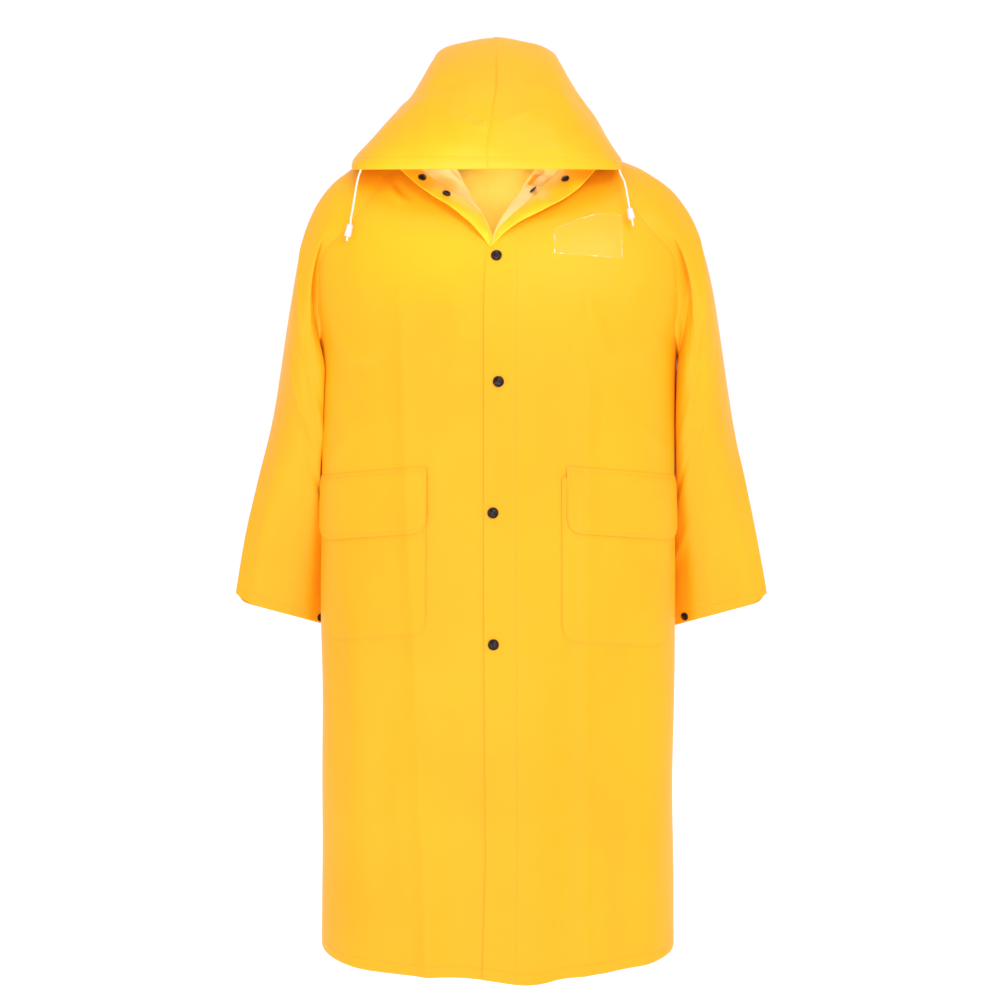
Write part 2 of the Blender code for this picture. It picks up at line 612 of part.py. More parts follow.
def front_panel(side):
    """A front's grid: its points, their normals, its rings and the angle of each point."""
    rings = panel_rings()
    guides = [tuple(abs(x) for x in guide) for guide in fold_guides("front", (side,))]
    guides.sort()

    def starts(ring):
        return float(edge_angle(np.array(ring), side))

    def ends(ring):
        return min(float(seam_angle(np.array(ring), True)), math.pi / 2 - SIDE_SEAM_TURN)

    angles = np.array([place_columns(r, starts, ends, guides, angle_for_x) for r in rings])
    spread = np.repeat(rings[:, None], angles.shape[1], axis=1)
    lift = lap_lift(bare_skin(spread, side * angles), side)
    return {
        "points": skin(spread, side * angles, lift),
        "normals": skin_normal(spread, side * angles),
        "rings": rings,
        "angles": angles,
    }


def back_panel():
    rings = panel_rings()

    def starts(ring):
        return max(float(seam_angle(np.array(ring), False)), math.pi / 2 + SIDE_SEAM_TURN)

    def ends(ring):
        return 2 * math.pi - starts(ring)

    def angle_of(ring, x):
        return math.pi - angle_for_x(ring, x)

    guides = fold_guides("back", (RIGHT, LEFT))[::-1]
    angles = np.array([place_columns(r, starts, ends, guides, angle_of) for r in rings])
    spread = np.repeat(rings[:, None], angles.shape[1], axis=1)
    return skin(spread, angles), skin_normal(spread, angles)


def on_panel(panel, row, place, lift):
    """A point over a front, from the four points of its grid around it, moved out by lift."""
    row, place, lift = np.broadcast_arrays(*(np.asarray(v, float) for v in (row, place, lift)))
    rows, columns = panel["points"].shape[:2]
    i = np.clip(row.astype(int), 0, rows - 2)
    j = np.clip(place.astype(int), 0, columns - 2)
    down, across = (row - i)[..., None], (place - j)[..., None]

    def blend(values):
        upper = values[i, j] * (1 - across) + values[i, j + 1] * across
        lower = values[i + 1, j] * (1 - across) + values[i + 1, j + 1] * across
        return upper * (1 - down) + lower * down

    normal = unit(blend(panel["normals"]))
    return blend(panel["points"]) + lift[..., None] * normal, normal


def panel_place(panel, x, z):
    """The row and the column, as decimals, of the place on a front at x and z."""
    ring, angle = place_on_front(x, z)
    rows = np.interp(ring, panel["rings"], np.arange(len(panel["rings"])))
    columns = np.empty_like(rows)
    for spot in np.ndindex(rows.shape):
        i = min(int(rows[spot]), len(panel["rings"]) - 2)
        share = rows[spot] - i
        turned = panel["angles"][i] * (1 - share) + panel["angles"][i + 1] * share
        columns[spot] = np.interp(abs(angle[spot]), turned, np.arange(len(turned)))
    return rows, columns


# ================================================================ turned-open tops
def lapel_point(side, up, across, lift=0.0):
    """A point of the turned-open top: up from the V (0) to the neck (1), across from roll (0) to edge (1)."""
    rows = LAPELS[side]
    place = np.asarray(up) * (len(rows) - 1)
    value = {name: smooth(column(LAPEL_COLUMNS, rows, name), place) for name in LAPEL_COLUMNS}
    x = value["roll_x"] + (value["edge_x"] - value["roll_x"]) * across
    z = value["roll_z"] + (value["edge_z"] - value["roll_z"]) * across
    open_up = LAPEL_FOOT_SHARE + (1 - LAPEL_FOOT_SHARE) * ease(np.asarray(up) / LAPEL_OPENED)
    rise = LAPEL_ROOT_LIFT + (LAPEL_EDGE_LIFT - LAPEL_ROOT_LIFT) * open_up * (1 - (1 - across) ** 2)
    return on_front(x, z, rise + lift)


def facing_share(side, up):
    rows = LAPELS[side]
    return smooth(column(LAPEL_COLUMNS, rows, "facing_share"), np.asarray(up) * (len(rows) - 1))


def lapel_grid(side):
    """The turned-open top, with a column along the inner edge of its facing."""
    up = np.linspace(0, 1, LAPEL_ROWS)[:, None]
    bare = 1 - facing_share(side, up)
    across = np.concatenate([bare * share for share in LAPEL_BARE_STEPS], axis=1)
    faced = np.concatenate([bare + (1 - bare) * share for share in LAPEL_FACED_STEPS], axis=1)
    across = np.concatenate([across, faced], axis=1)
    return lapel_point(side, np.broadcast_to(up, across.shape), across)


def outwards(grid):
    """Normals of a grid that lies over the front, turned to face -Y."""
    normals = sheet_normals(grid)
    return normals * np.where(normals[..., 1:2] > 0, -1, 1)


def add_lapel(side, word):
    """The turned-open top of a front and, on it, the yellow facing from its free edge inwards."""
    grid = lapel_grid(side)
    normals = outwards(grid)
    faced = len(LAPEL_BARE_STEPS)
    over = grid + (GAP + BAND_WALL) * normals
    if side == RIGHT:
        grid, normals, over = grid[:, ::-1], normals[:, ::-1], over[:, ::-1]
        columns = slice(0, len(LAPEL_FACED_STEPS))
    else:
        columns = slice(faced, None)
    add_wall(f"lapel_{word}", grid, normals, WALL, "cloth_backing")
    add_wall(f"facing_{word}", over[:, columns], normals[:, columns], BAND_WALL, "coated_cloth")


# ================================================================ pockets and flaps
def corner_rise(distance, radius):
    """How far a round lower corner has risen at a distance from the piece's end."""
    inside = np.clip(radius - distance, 0, radius)
    return radius - np.sqrt(np.maximum(radius**2 - inside**2, 0))


def patch_places(panel, start, end, corner, level):
    """Column places of a patch: its ends, its round corners and the panel's columns between them."""
    middle = panel["points"][int(round(level))]
    walked = np.concatenate([[0], np.cumsum(np.linalg.norm(np.diff(middle, axis=0), axis=-1))])
    first, last = np.interp((start, end), np.arange(len(walked)), walked)
    bend = corner * (1 - np.cos(np.radians(CORNER_STEPS)))
    inner = walked[(walked > first) & (walked < last)]
    along = np.unique(np.round(np.concatenate([first + bend, inner, last - bend]), 5))
    keep = np.concatenate([[True], np.diff(along) > CLOSEST_COLUMNS])
    along = along[keep]
    return np.interp(along, walked, np.arange(len(walked))), along - first, last - first


def add_patch(name, panel, x_ends, top_z, foot_z, corner, lifts, drop=0.0):
    """A piece on a front, between two distances from the middle, with round lower corners.

    Its rows are its top, the panel's own rows and its foot. Each of lifts is a depth below the top and how
    far the piece stands off there.
    """
    mid_z = (top_z + foot_z) / 2
    rows, ends = panel_place(panel, np.abs(np.array(x_ends)), np.full(2, mid_z))
    places, along, length = patch_places(panel, ends[0], ends[1], corner, rows[0])
    sink = drop * along / length
    foot = foot_z - sink + corner_rise(np.minimum(along, length - along), corner)
    top = top_z - sink
    all_rows = np.arange(len(panel["rings"]))
    all_places = np.arange(panel["points"].shape[1])
    heights = np.array([np.interp(places, all_places, row[:, 2]) for row in panel["points"]])

    def row_for(z):
        return np.array([np.interp(-z[k], -heights[:, k], all_rows) for k in range(len(places))])

    tops, feet = row_for(top), row_for(foot)
    lines = [tops]
    for depth, _ in lifts[1:]:
        lines.append(row_for(np.maximum(top - depth, foot + LEAST_DROP)))
    least, most = lines[-1].max() + ROW_CLEAR_ABOVE, feet.min() - ROW_CLEAR_BELOW
    lines += [np.full(len(places), float(r)) for r in all_rows if least < r < most]
    lines.append(feet)
    grid = np.array(lines)
    reached = [np.interp(grid[:, k], all_rows, heights[:, k]) for k in range(len(places))]
    depths = top - np.stack(reached, axis=1)
    lift = np.interp(depths, [depth for depth, _ in lifts], [rise for _, rise in lifts])
    points, normals = on_panel(panel, grid, np.broadcast_to(places, grid.shape), lift)
    return add_wall(name, points, normals, BAND_WALL, "coated_cloth")


def add_pockets(panel, side, word):
    lap = GAP * 2 + BAND_WALL
    add_patch(
        f"pocket_{word}",
        panel,
        (POCKET_INNER_X[side], POCKET_OUTER_X),
        POCKET_TOP_Z,
        POCKET_FOOT_Z[side],
        POCKET_CORNER,
        ((0.0, lap),),
        FLAP_SIDE_DROP,
    )
    over = POCKET_TOP_Z - FLAP_TOP_Z
    add_patch(
        f"flap_{word}",
        panel,
        (FLAP_INNER_X[side], FLAP_OUTER_X),
        FLAP_TOP_Z,
        FLAP_FOOT_Z,
        FLAP_CORNER,
        ((0.0, lap), (-over * 0.75, 2 * lap + GAP), (0.05, FLAP_STAND_OFF), (0.2, FLAP_STAND_OFF)),
        FLAP_SIDE_DROP,
    )


def add_id_pocket(panel):
    """The clear pocket: sewn at its sides and its foot, with a slack, wavy top edge."""
    across, up = np.meshgrid(*(np.linspace(0, 1, count) for count in ID_POCKET_POINTS))
    x = ID_POCKET_X[0] + (ID_POCKET_X[1] - ID_POCKET_X[0]) * across
    foot = ID_POCKET_FOOT_Z[0] + (ID_POCKET_FOOT_Z[1] - ID_POCKET_FOOT_Z[0]) * across
    places, heights = zip(*ID_POCKET_TOP)
    top = np.interp(across, places, heights)
    z = top + (foot - top) * up
    gape = ID_POCKET_GAPE * np.sin(math.pi * across) ** 2 * (1 - up) ** 1.5
    rows, columns = panel_place(panel, x, z)
    points, normals = on_panel(panel, rows, columns, GAP * 3 + ID_POCKET_WALL + gape)
    return add_wall("id_pocket", points, normals, ID_POCKET_WALL, "clear_vinyl")


# ================================================================ sleeves
def armhole():
    """The raglan seam as a closed loop: from the neck, down the front, under the arm and up the back.

    Gives the ring and the angle of each point, how near it is to the underarm (0 to 1), and its turn round
    the sleeve's tube.
    """
    down = panel_rings()
    down = down[down <= UNDERARM_RING]
    half, neck = math.pi / 2, NECK_STEPS
    front, back = seam_angle(down, True), seam_angle(down, False)
    rings = np.concatenate([np.zeros(neck), down[:-1], down[::-1], np.zeros(neck - 1)])
    angles = np.concatenate(
        [
            np.linspace(half, front[0], neck + 1)[:-1],
            front[:-1],
            back[::-1],
            np.linspace(back[0], half, neck + 1)[1:-1],
        ]
    )
    near = {}
    for name, seam in (("front", front), ("back", back)):
        steps = np.linalg.norm(np.diff(bare_skin(down, seam), axis=0), axis=-1)
        near[name] = np.concatenate([[0], np.cumsum(steps)]) / steps.sum()
    along_seam = [np.zeros(neck), near["front"][:-1], near["back"][::-1], np.zeros(neck - 1)]
    nearness = np.concatenate(along_seam)
    first = math.radians(NECK_HALF_TURN)
    turns = np.concatenate(
        [
            np.linspace(0, first, neck + 1)[:-1],
            first + (math.pi - first) * near["front"][:-1],
            2 * math.pi - first - (math.pi - first) * near["back"][::-1],
            np.linspace(2 * math.pi - first, 2 * math.pi, neck + 1)[1:-1],
        ]
    )
    return rings, angles, nearness, turns


def tube_ring(side, place, turns):
    """Points round the sleeve's tube. A turn of 0 is its outer line, and a quarter turn its front."""
    value = {}
    for name in SLEEVE_COLUMNS:
        value[name] = float(smooth(column(SLEEVE_COLUMNS, SLEEVE_RINGS, name), place))
    tilt, yaw = math.radians(value["tilt"]), math.radians(value["turn"])
    level = math.cos(tilt)
    wide, deep = value["half_width"], value["half_depth"]
    outer = value["outer_right"] if side == RIGHT else value["outer_left"]
    reach = math.hypot(wide * level * math.cos(yaw), deep * math.sin(yaw))
    out = np.array([side * level * math.cos(yaw), -level * math.sin(yaw), math.sin(tilt)])
    back = np.array([side * math.sin(yaw), math.cos(yaw), 0.0])
    centre = np.array([side * (outer - reach), value["mid_y"], value["outer_z"] - wide * out[2]])
    rise = sleeve_fold(turns, place / (len(SLEEVE_RINGS) - 1))
    outwards_by = ((wide + rise) * np.cos(turns))[:, None] * out
    points = centre + outwards_by - ((deep + rise) * np.sin(turns))[:, None] * back
    corner = CUFF_CORNER_RISE * ease(place - (len(SLEEVE_RINGS) - 2)) * np.clip(np.cos(turns), 0, 1) ** 10
    points[:, 2] += corner
    return points


def sleeve_fold(turns, down):
    total = np.zeros_like(turns)
    for turn_top, turn_bottom, start, end, height, width in SLEEVE_FOLDS:
        share = np.clip((down - start) / (end - start), 0, 1)
        line = math.radians(turn_top + (turn_bottom - turn_top) * share)
        apart = (turns - line + math.pi) % (2 * math.pi) - math.pi
        risen = height * ease((down - start) / SLEEVE_FOLD_FADE)
        total += risen * np.exp(-((apart / math.radians(width)) ** 2))
    return total


def keep_clear(points, side):
    """Moves points of the tube out to where they just clear the body."""
    height = np.minimum(points[..., 2], RINGS[UNDERARM_RING][RING_COLUMNS.index("side_z")])
    ring = ring_at(np.full(points.shape[:-1], math.pi / 2), height)
    mid, half = ring_value("mid_y", ring), ring_value("half_width", ring)
    end = np.where(points[..., 1] < mid, ring_value("front_y", ring), ring_value("back_y", ring))
    share = np.clip(np.abs((points[..., 1] - mid) / (end - mid)), 0, 1)
    body = half * (1 - share ** (2 / OVAL_POWER)) ** (OVAL_POWER / 2) + BODY_CLEARANCE
    x = side * points[..., 0]
    clear = (x + body + np.sqrt((x - body) ** 2 + CLEARING_SOFTNESS**2)) / 2
    moved = points.copy()
    moved[..., 0] = side * np.where(share < 1, clear, x)
    return moved


def sleeve_grid(side):
    """The sleeve's outer face and its normals, over the shoulder from the raglan seam and down the arm."""
    rings, angles, nearness, turns = armhole()
    seam = skin(rings, side * angles)
    seam_normals = skin_normal(rings, side * angles)
    along = np.roll(seam, -1, axis=0) - np.roll(seam, 1, axis=0)
    leave = unit(np.cross(seam_normals, along))
    leave *= np.sign(leave[0, 0] * side)
    over = 1 - ease(nearness / SHOULDER_REACH)[:, None]
    under = ease((nearness - UNDERARM_FROM) / UNDERARM_SPAN)[:, None]
    lean = np.where(angles > math.pi / 2, -BACK_LEAN * np.clip(nearness / LEAN_FULL, 0, 1), 0.0)
    way = np.stack([np.full(lean.shape, side), lean, np.full(lean.shape, SHOULDER_SLOPE[side])], axis=-1)
    leave = unit(leave * (1 - over) + unit(way) * over)
    down = np.array([side * UNDERARM_WAY[0], 0.0, UNDERARM_WAY[1]])
    leave = unit(leave * (1 - under) + down * under)
    first = keep_clear(tube_ring(side, 0.0, turns), side)
    second = keep_clear(tube_ring(side, ARRIVE_STEP, turns), side)
    arrive = unit(second - first)
    pull = CAP_PULL_TOP + (CAP_PULL_SIDE - CAP_PULL_TOP) * ease(nearness / PULL_REACH)
    strength = (pull * np.linalg.norm(first - seam, axis=-1))[:, None]
    start = seam + SEAM_GAP * leave
    rows = []
    for t in np.linspace(0, 1, CAP_ROWS, endpoint=False):
        point = (1 + 2 * t) * (1 - t) ** 2 * start + t * (1 - t) ** 2 * strength * leave
        point = point + t * t * (3 - 2 * t) * first - t * t * (1 - t) * strength * arrive
        rows.append(point)
    for place in np.linspace(0, len(SLEEVE_RINGS) - 1, TUBE_ROWS):
        rows.append(keep_clear(tube_ring(side, place, turns), side))
    grid = np.array(rows)
    normals = tube_normals(grid)
    if (normals[-1] * (grid[-1] - grid[-1].mean(axis=0))).sum() < 0:
        normals = -normals
    normals[0] = unit(seam_normals * (1 - under) + normals[0] * under)
    return grid, normals


def add_sleeve(side, word):
    grid, normals = sleeve_grid(side)
    add_wall(f"sleeve_{word}", grid, normals, WALL, "coated_cloth", closed=True)
    add_cuff_snap(side, f"snap_cuff_{word}", grid, normals)


# ================================================================ hood
def hood_row(place, side, over, under):
    """One row of a hood panel, from the neck seam to the centre seam."""
    value = {}
    for name in HOOD_COLUMNS:
        value[name] = float(smooth(column(HOOD_COLUMNS, HOOD_ROWS, name), place))
    steps = np.linspace(0, len(HOOD_OUTLINE) - 1, over)
    wide = smooth(column(HOOD_OUTLINE_COLUMNS, HOOD_OUTLINE, "width_share"), steps)
    high = smooth(column(HOOD_OUTLINE_COLUMNS, HOOD_OUTLINE, "height_share"), steps)
    round_share = np.sqrt(np.maximum(1 - wide**2, 0))
    up = value["tent"] * high + (1 - value["tent"]) * round_share
    y = value["side_y"] + (value["centre_y"] - value["side_y"]) * round_share
    raised = HOOD_SIDE_RAISE[side] * math.sin(math.pi * place / (len(HOOD_ROWS) - 1))
    z = value["side_z"] + raised * wide**4 + (value["centre_z"] - value["side_z"]) * up
    leans = 1 - ease((place - HOOD_LEAN_ROW) / HOOD_LEAN_FADE)
    lean = leans * by_height(HOOD_LEAN_COLUMNS, HOOD_LEAN, "x", z)
    x = lean + side * (value["half_width"] * wide + HOOD_SEAM_GAP / 2)
    cover = np.stack([x, y, z], axis=-1)
    neck = skin(NECK_RING, side * math.radians(value["neck"])) + (0, 0, HOOD_NECK_LIFT)
    share = np.linspace(0, 1, under, endpoint=False)[:, None]
    beneath = neck * (1 - share) + cover[0] * share
    beneath[:, 2] += 4 * HOOD_SHOULDER_RISE[side] * (share * (1 - share))[:, 0]
    return np.concatenate([beneath, cover])


def hood_grid(side):
    places = np.linspace(0, len(HOOD_ROWS) - 1, HOOD_STEPS)
    return np.array([hood_row(place, side, HOOD_OVER, HOOD_UNDER) for place in places])


def hood_outward(grid, side):
    normals = sheet_normals(grid)
    return normals if side == LEFT else -normals


def add_hood(side, word):
    grid = hood_grid(side)
    add_wall(f"hood_{word}", grid, hood_outward(grid, side), WALL, "coated_cloth")


# ================================================================ snaps, cords and toggles
def add_turned(name, profile, base, axis, finish_name, segments=14, bore=0.0):
    """A solid turned about an axis. The profile is pairs of height and radius, from its foot to its top."""
    turn = Vector(axis).to_track_quat("Z", "Y")
    model = bmesh.new()
    loops = []
    for height, radius in profile:
        ring = []
        for k in range(segments):
            angle = 2 * math.pi * k / segments
            spot = turn @ Vector((radius * math.cos(angle), radius * math.sin(angle), height))
            ring.append(model.verts.new(spot + Vector(base)))
        loops.append(ring)
    if bore:
        for height in (profile[-1][0], profile[0][0]):
            ring = []
            for k in range(segments):
                angle = 2 * math.pi * k / segments
                spot = turn @ Vector((bore * math.cos(angle), bore * math.sin(angle), height))
                ring.append(model.verts.new(spot + Vector(base)))
            loops.append(ring)
        loops.append(loops[0])
    else:
        model.faces.new(loops[0])
        model.faces.new(loops[-1])
    for lower, upper in zip(loops, loops[1:]):
        for k in range(segments):
            n = (k + 1) % segments
            model.faces.new((lower[k], lower[n], upper[n], upper[k]))
    bmesh.ops.recalc_face_normals(model, faces=model.faces)
    mesh = bpy.data.meshes.new(name)
    model.to_mesh(mesh)
    model.free()
    mesh.shade_smooth()
    mesh.set_sharp_from_angle(angle=math.radians(35))
    return add_object(name, mesh, finish_name)


def snap_profile(diameter):
    radius = diameter / 2
    return (
        (0.0, radius),
        (0.25 * SNAP_RISE, radius),
        (0.62 * SNAP_RISE, 0.86 * radius),
        (0.90 * SNAP_RISE, 0.55 * radius),
        (SNAP_RISE, 0.20 * radius),
    )


def add_snap(name, point, normal, diameter):
    base = np.asarray(point) + GAP * 1.5 * np.asarray(normal)
    return add_turned(name, snap_profile(diameter), base, normal, "snap_metal")


def add_front_snaps():
    for number, (x, z) in enumerate(FRONT_SNAPS, start=1):
        ring, angle = place_on_front(x, z)
        lift = float(lap_lift(bare_skin(ring, angle), LEFT))
        flat = skin(ring, angle, lift + flat_allowance(FRONT_SNAP_D))
        add_snap(f"snap_front_{number}", flat, skin_normal(ring, angle), FRONT_SNAP_D)


def flat_allowance(diameter):
    """How far a flat foot of this size stands off the curved cloth."""
    return (diameter / 2) ** 2 / (2 * CLOTH_BEND)


def add_neck_snaps():
    for number, (side, up, across) in enumerate(NECK_SNAPS, start=1):
        faced = across > 1 - facing_share(side, up)
        lift = GAP + BAND_WALL if faced else 0.0
        step = 0.02
        point = lapel_point(side, up, across, lift)
        along = lapel_point(side, up + step, across, lift) - lapel_point(side, up - step, across, lift)
        sideways = lapel_point(side, up, across + step, lift) - point
        normal = unit(np.cross(along, sideways))
        normal = normal if normal[1] < 0 else -normal
        point = point + (NECK_SNAP_LIFT + flat_allowance(SMALL_SNAP_D)) * normal
        add_snap(f"snap_neck_{number}", point, normal, SMALL_SNAP_D)


def add_cuff_snap(side, name, grid, normals):
    """The snap sits on the front of the sleeve, just above the cuff's edge, towards the body."""
    turns = armhole()[3]
    turn = math.radians(CUFF_SNAP_TURN[side])
    column_place = float(np.interp(turn, turns, np.arange(len(turns))))
    low, share = int(column_place), column_place % 1
    edge = grid[-1, low] * (1 - share) + grid[-1, low + 1] * share
    above = grid[-2, low] * (1 - share) + grid[-2, low + 1] * share
    normal = unit(normals[-1, low] * (1 - share) + normals[-1, low + 1] * share)
    point = edge + CUFF_SNAP_UP * unit(above - edge) + CUFF_SNAP_LIFT * normal
    add_snap(name, point, normal, SMALL_SNAP_D)


def smooth_route(points, spacing):
    """Points read from the smooth curve through a route, about evenly spaced."""
    points = np.array(points)
    places = np.linspace(0, len(points) - 1, FINE_STEPS)
    fine = np.stack([smooth(points[:, k], places) for k in range(3)], axis=-1)
    walked = np.concatenate([[0], np.cumsum(np.linalg.norm(np.diff(fine, axis=0), axis=-1))])
    count = int(round(walked[-1] / spacing)) + 1
    wanted = np.linspace(0, walked[-1], count)
    return np.stack([np.interp(wanted, walked, fine[:, k]) for k in range(3)], axis=-1)


def add_cord(side, name):
    route = smooth_route(CORD_ROUTES[side], CORD_STEP * CORD_D)
    curve = bpy.data.curves.new(name, "CURVE")
    curve.dimensions = "3D"
    curve.bevel_depth = CORD_D / 2
    curve.bevel_resolution = 2
    curve.use_fill_caps = True
    spline = curve.splines.new("POLY")
    spline.points.add(len(route) - 1)
    for spot, place in zip(spline.points, route):
        spot.co = (*place, 1.0)
    obj = bpy.data.objects.new(name, curve)
    bpy.context.scene.collection.objects.link(obj)
    curve.materials.append(finish("white_cord"))
    return obj


def add_toggle(side, name):
    top, foot = (np.array(CORD_ROUTES[side][k]) for k in TOGGLE_SPAN[side])
    length = float(np.linalg.norm(foot - top))
    axis = (foot - top) / length
    profile = [(share * length, radius) for share, radius in TOGGLE_PROFILE]
    return add_turned(name, profile, top, axis, "white_plastic", segments=12, bore=TOGGLE_BORE)


# ================================================================ the coat
def main():
    for obj in list(bpy.data.objects):
        bpy.data.objects.remove(obj, do_unlink=True)
    points, normals = back_panel()
    add_wall("back", points, normals, WALL, "coated_cloth")
    for side, word in ((RIGHT, "right"), (LEFT, "left")):
        panel = front_panel(side)
        add_wall(f"front_{word}", panel["points"], panel["normals"], WALL, "coated_cloth")
        add_pockets(panel, side, word)
        if side == LEFT:
            add_id_pocket(panel)
        add_lapel(side, word)
        add_sleeve(side, word)
        add_hood(side, word)
        add_cord(side, f"cord_{word}")
        add_toggle(side, f"toggle_{word}")
    add_front_snaps()
    add_neck_snaps()


main()
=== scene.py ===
"""The finish of a long hooded raincoat, filled out as if worn, with nobody in it.

Metres, +Z up. The coat faces -Y, and its left side, as its wearer has it, is at +X. Each panel of cloth is a
thin shell over the form of its solid, with its creases, its sewing and its own coating; the snaps, the cords,
their toggles and the clear chest pocket lie on it.
"""

from __future__ import annotations

import logging
import math
from dataclasses import dataclass, field
from enum import Enum
from typing import Any

import bmesh
import bpy
import numpy as np
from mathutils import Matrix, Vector


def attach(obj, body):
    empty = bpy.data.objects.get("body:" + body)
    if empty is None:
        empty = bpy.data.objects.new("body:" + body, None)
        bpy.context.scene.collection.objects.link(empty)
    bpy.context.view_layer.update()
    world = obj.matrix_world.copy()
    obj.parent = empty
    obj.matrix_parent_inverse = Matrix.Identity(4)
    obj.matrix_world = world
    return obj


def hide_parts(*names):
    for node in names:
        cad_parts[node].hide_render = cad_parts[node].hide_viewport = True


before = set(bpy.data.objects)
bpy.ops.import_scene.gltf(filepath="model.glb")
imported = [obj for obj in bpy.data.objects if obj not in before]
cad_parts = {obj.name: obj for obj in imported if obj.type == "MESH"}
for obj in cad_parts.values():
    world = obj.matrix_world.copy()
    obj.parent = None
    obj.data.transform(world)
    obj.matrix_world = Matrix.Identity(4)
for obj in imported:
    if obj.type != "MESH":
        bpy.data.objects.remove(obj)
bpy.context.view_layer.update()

Array = np.ndarray
Pair = tuple[float, float]
Table = tuple[tuple[float, ...], ...]
Material, NodeTree = bpy.types.Material, bpy.types.NodeTree
LOG = logging.getLogger("raincoat")
HALF_TURN, QUARTER_TURN = math.pi, math.pi / 2

# ---------------------------------------------------------------- cloth
CLOTH = 0.0006  # coated cloth with its backing
SOLID_WALL = 0.0013  # the thickness that the solids give the same cloth
TUCK = 0.0045  # how far one panel goes in under the next at a seam
TUCK_DEPTH = 0.0009
CELL = 0.0042  # spacing of the points of a large panel
FOLD_RADIUS = 0.0008  # the outer face's, at a turned hem, cuff or mouth
FOLD_TURNS = (30, 60, 90, 120, 150, 180)
FOLD_STEP = 0.004
HEM_TURNED = 0.012
UNSEWN = 9.0  # an inset past the edge of any piece, where a row of stitches stops
SHEET_LEAST = 0.32  # the smallest share of its flat size that a cut may fill
CREASED_FROM = 50.0  # degrees between faces, past which an edge of cloth shades sharp


class Side(Enum):
    """The wearer's side, as the sign of its x."""

    RIGHT = -1
    LEFT = 1

    @property
    def word(self) -> str:
        """The side's name, as the nodes have it."""
        return self.name.lower()


class Edge(Enum):
    """An edge of a piece of cloth, in its own grid of rows and columns."""

    TOP = "top"
    FOOT = "foot"
    START = "start"
    END = "end"


# ================================================================ numbers
def smooth(values: Any, place: Any) -> Array:
    """The Catmull-Rom curve through evenly spaced values.

    Args:
        values: The values, one for each row of a table.
        place: Places counted in rows.

    Returns:
        The curve's value at each place.
    """
    values = np.asarray(values, float)
    place = np.clip(np.asarray(place, float), 0, len(values) - 1)
    first = np.minimum(place.astype(int), len(values) - 2)
    t = place - first
    padded = np.concatenate([2 * values[:1] - values[1:2], values, 2 * values[-1:] - values[-2:-1]])
    a, b, c, d = (padded[first + k] for k in range(4))
    return b + 0.5 * t * (c - a + t * (2 * a - 5 * b + 4 * c - d + t * (3 * (b - c) + d - a)))


def row_at(rows: tuple[Any, ...], place: float) -> dict[str, float]:
    """Every number of a table at a place between its rows."""
    return {name: float(smooth([getattr(r, name) for r in rows], place)) for name in rows[0].__annotations__}


def ease(t: Any) -> Array:
    """A soft step from 0 to 1."""
    t = np.clip(t, 0.0, 1.0)
    return t * t * (3 - 2 * t)


def unit(vectors: Array) -> Array:
    """The vectors at length 1."""
    return vectors / np.maximum(np.linalg.norm(vectors, axis=-1, keepdims=True), 1e-12)


def solve(function: Any, low: Any, high: Any, steps: int = 34) -> Array:
    """Where an increasing function crosses zero, by halving, for whole arrays at once.

    Args:
        function: It takes and gives arrays.
        low: Where to start looking.
        high: Where to stop looking.
        steps: How many times the range is halved.

    Returns:
        The crossing of each item.
    """
    low, high = (np.array(v, float) for v in np.broadcast_arrays(low, high))
    for _ in range(steps):
        middle = (low + high) / 2
        below = function(middle) < 0
        low, high = np.where(below, middle, low), np.where(below, high, middle)
    return (low + high) / 2


def walked(points: Array, axis: int) -> Array:
    """The distance along each line of a grid, from its first point.

    Args:
        points: A grid of points.
        axis: 0 for the distance down the columns, 1 for that along the rows.

    Returns:
        A distance for each point.
    """
    steps = np.linalg.norm(np.diff(points, axis=axis), axis=-1)
    total = np.cumsum(steps, axis=axis)
    return np.concatenate([np.zeros_like(np.take(total, [0], axis=axis)), total], axis=axis)


@dataclass(frozen=True)
class Crease:
    """A ridge in the cloth (a trough, below zero) along a bowed line, in metres of the panel's own two ways.

    A sharpness of 2 gives a soft fold, and 1 gives the narrow peak of a pressed crease.
    """

    start: Pair
    end: Pair
    height: float
    width: float
    bow: float = 0.0
    sharpness: float = 2.0
    fade: float = 0.3

    def rise(self, across: Array, down: Array) -> Array:
        """How far the crease lifts each place.

        Args:
            across: The places' distances across the panel.
            down: Their distances along it.

        Returns:
            The rise at each place.
        """
        run = np.subtract(self.end, self.start)
        length = float(np.hypot(*run))
        apart = (across - self.start[0], down - self.start[1])
        share = (apart[0] * run[0] + apart[1] * run[1]) / length**2
        aside = (apart[0] * run[1] - apart[1] * run[0]) / length - self.bow * 4 * share * (1 - share)
        here = ease(share / self.fade) * ease((1 - share) / self.fade)
        return self.height * here * np.exp(-(np.abs(aside / self.width) ** self.sharpness))


def rise_of(creases: tuple[Crease, ...], across: Array, down: Array) -> Array:
    """The sum of several creases at each place.

    Args:
        creases: The creases.
        across: The places' distances across the panel.
        down: Their distances along it.

    Returns:
        The rise at each place.
    """
    total = np.zeros(np.broadcast(across, down).shape)
    for crease in creases:
        total = total + crease.rise(across, down)
    return total


# ================================================================ the body's surface
@dataclass(frozen=True)
class Ring:
    """One oval of the body: its widest points, its front and its back, and how its height turns between."""

    half_width: float
    side_z: float
    mid_y: float
    front_y: float
    front_z: float
    back_y: float
    back_z: float
    bow: float


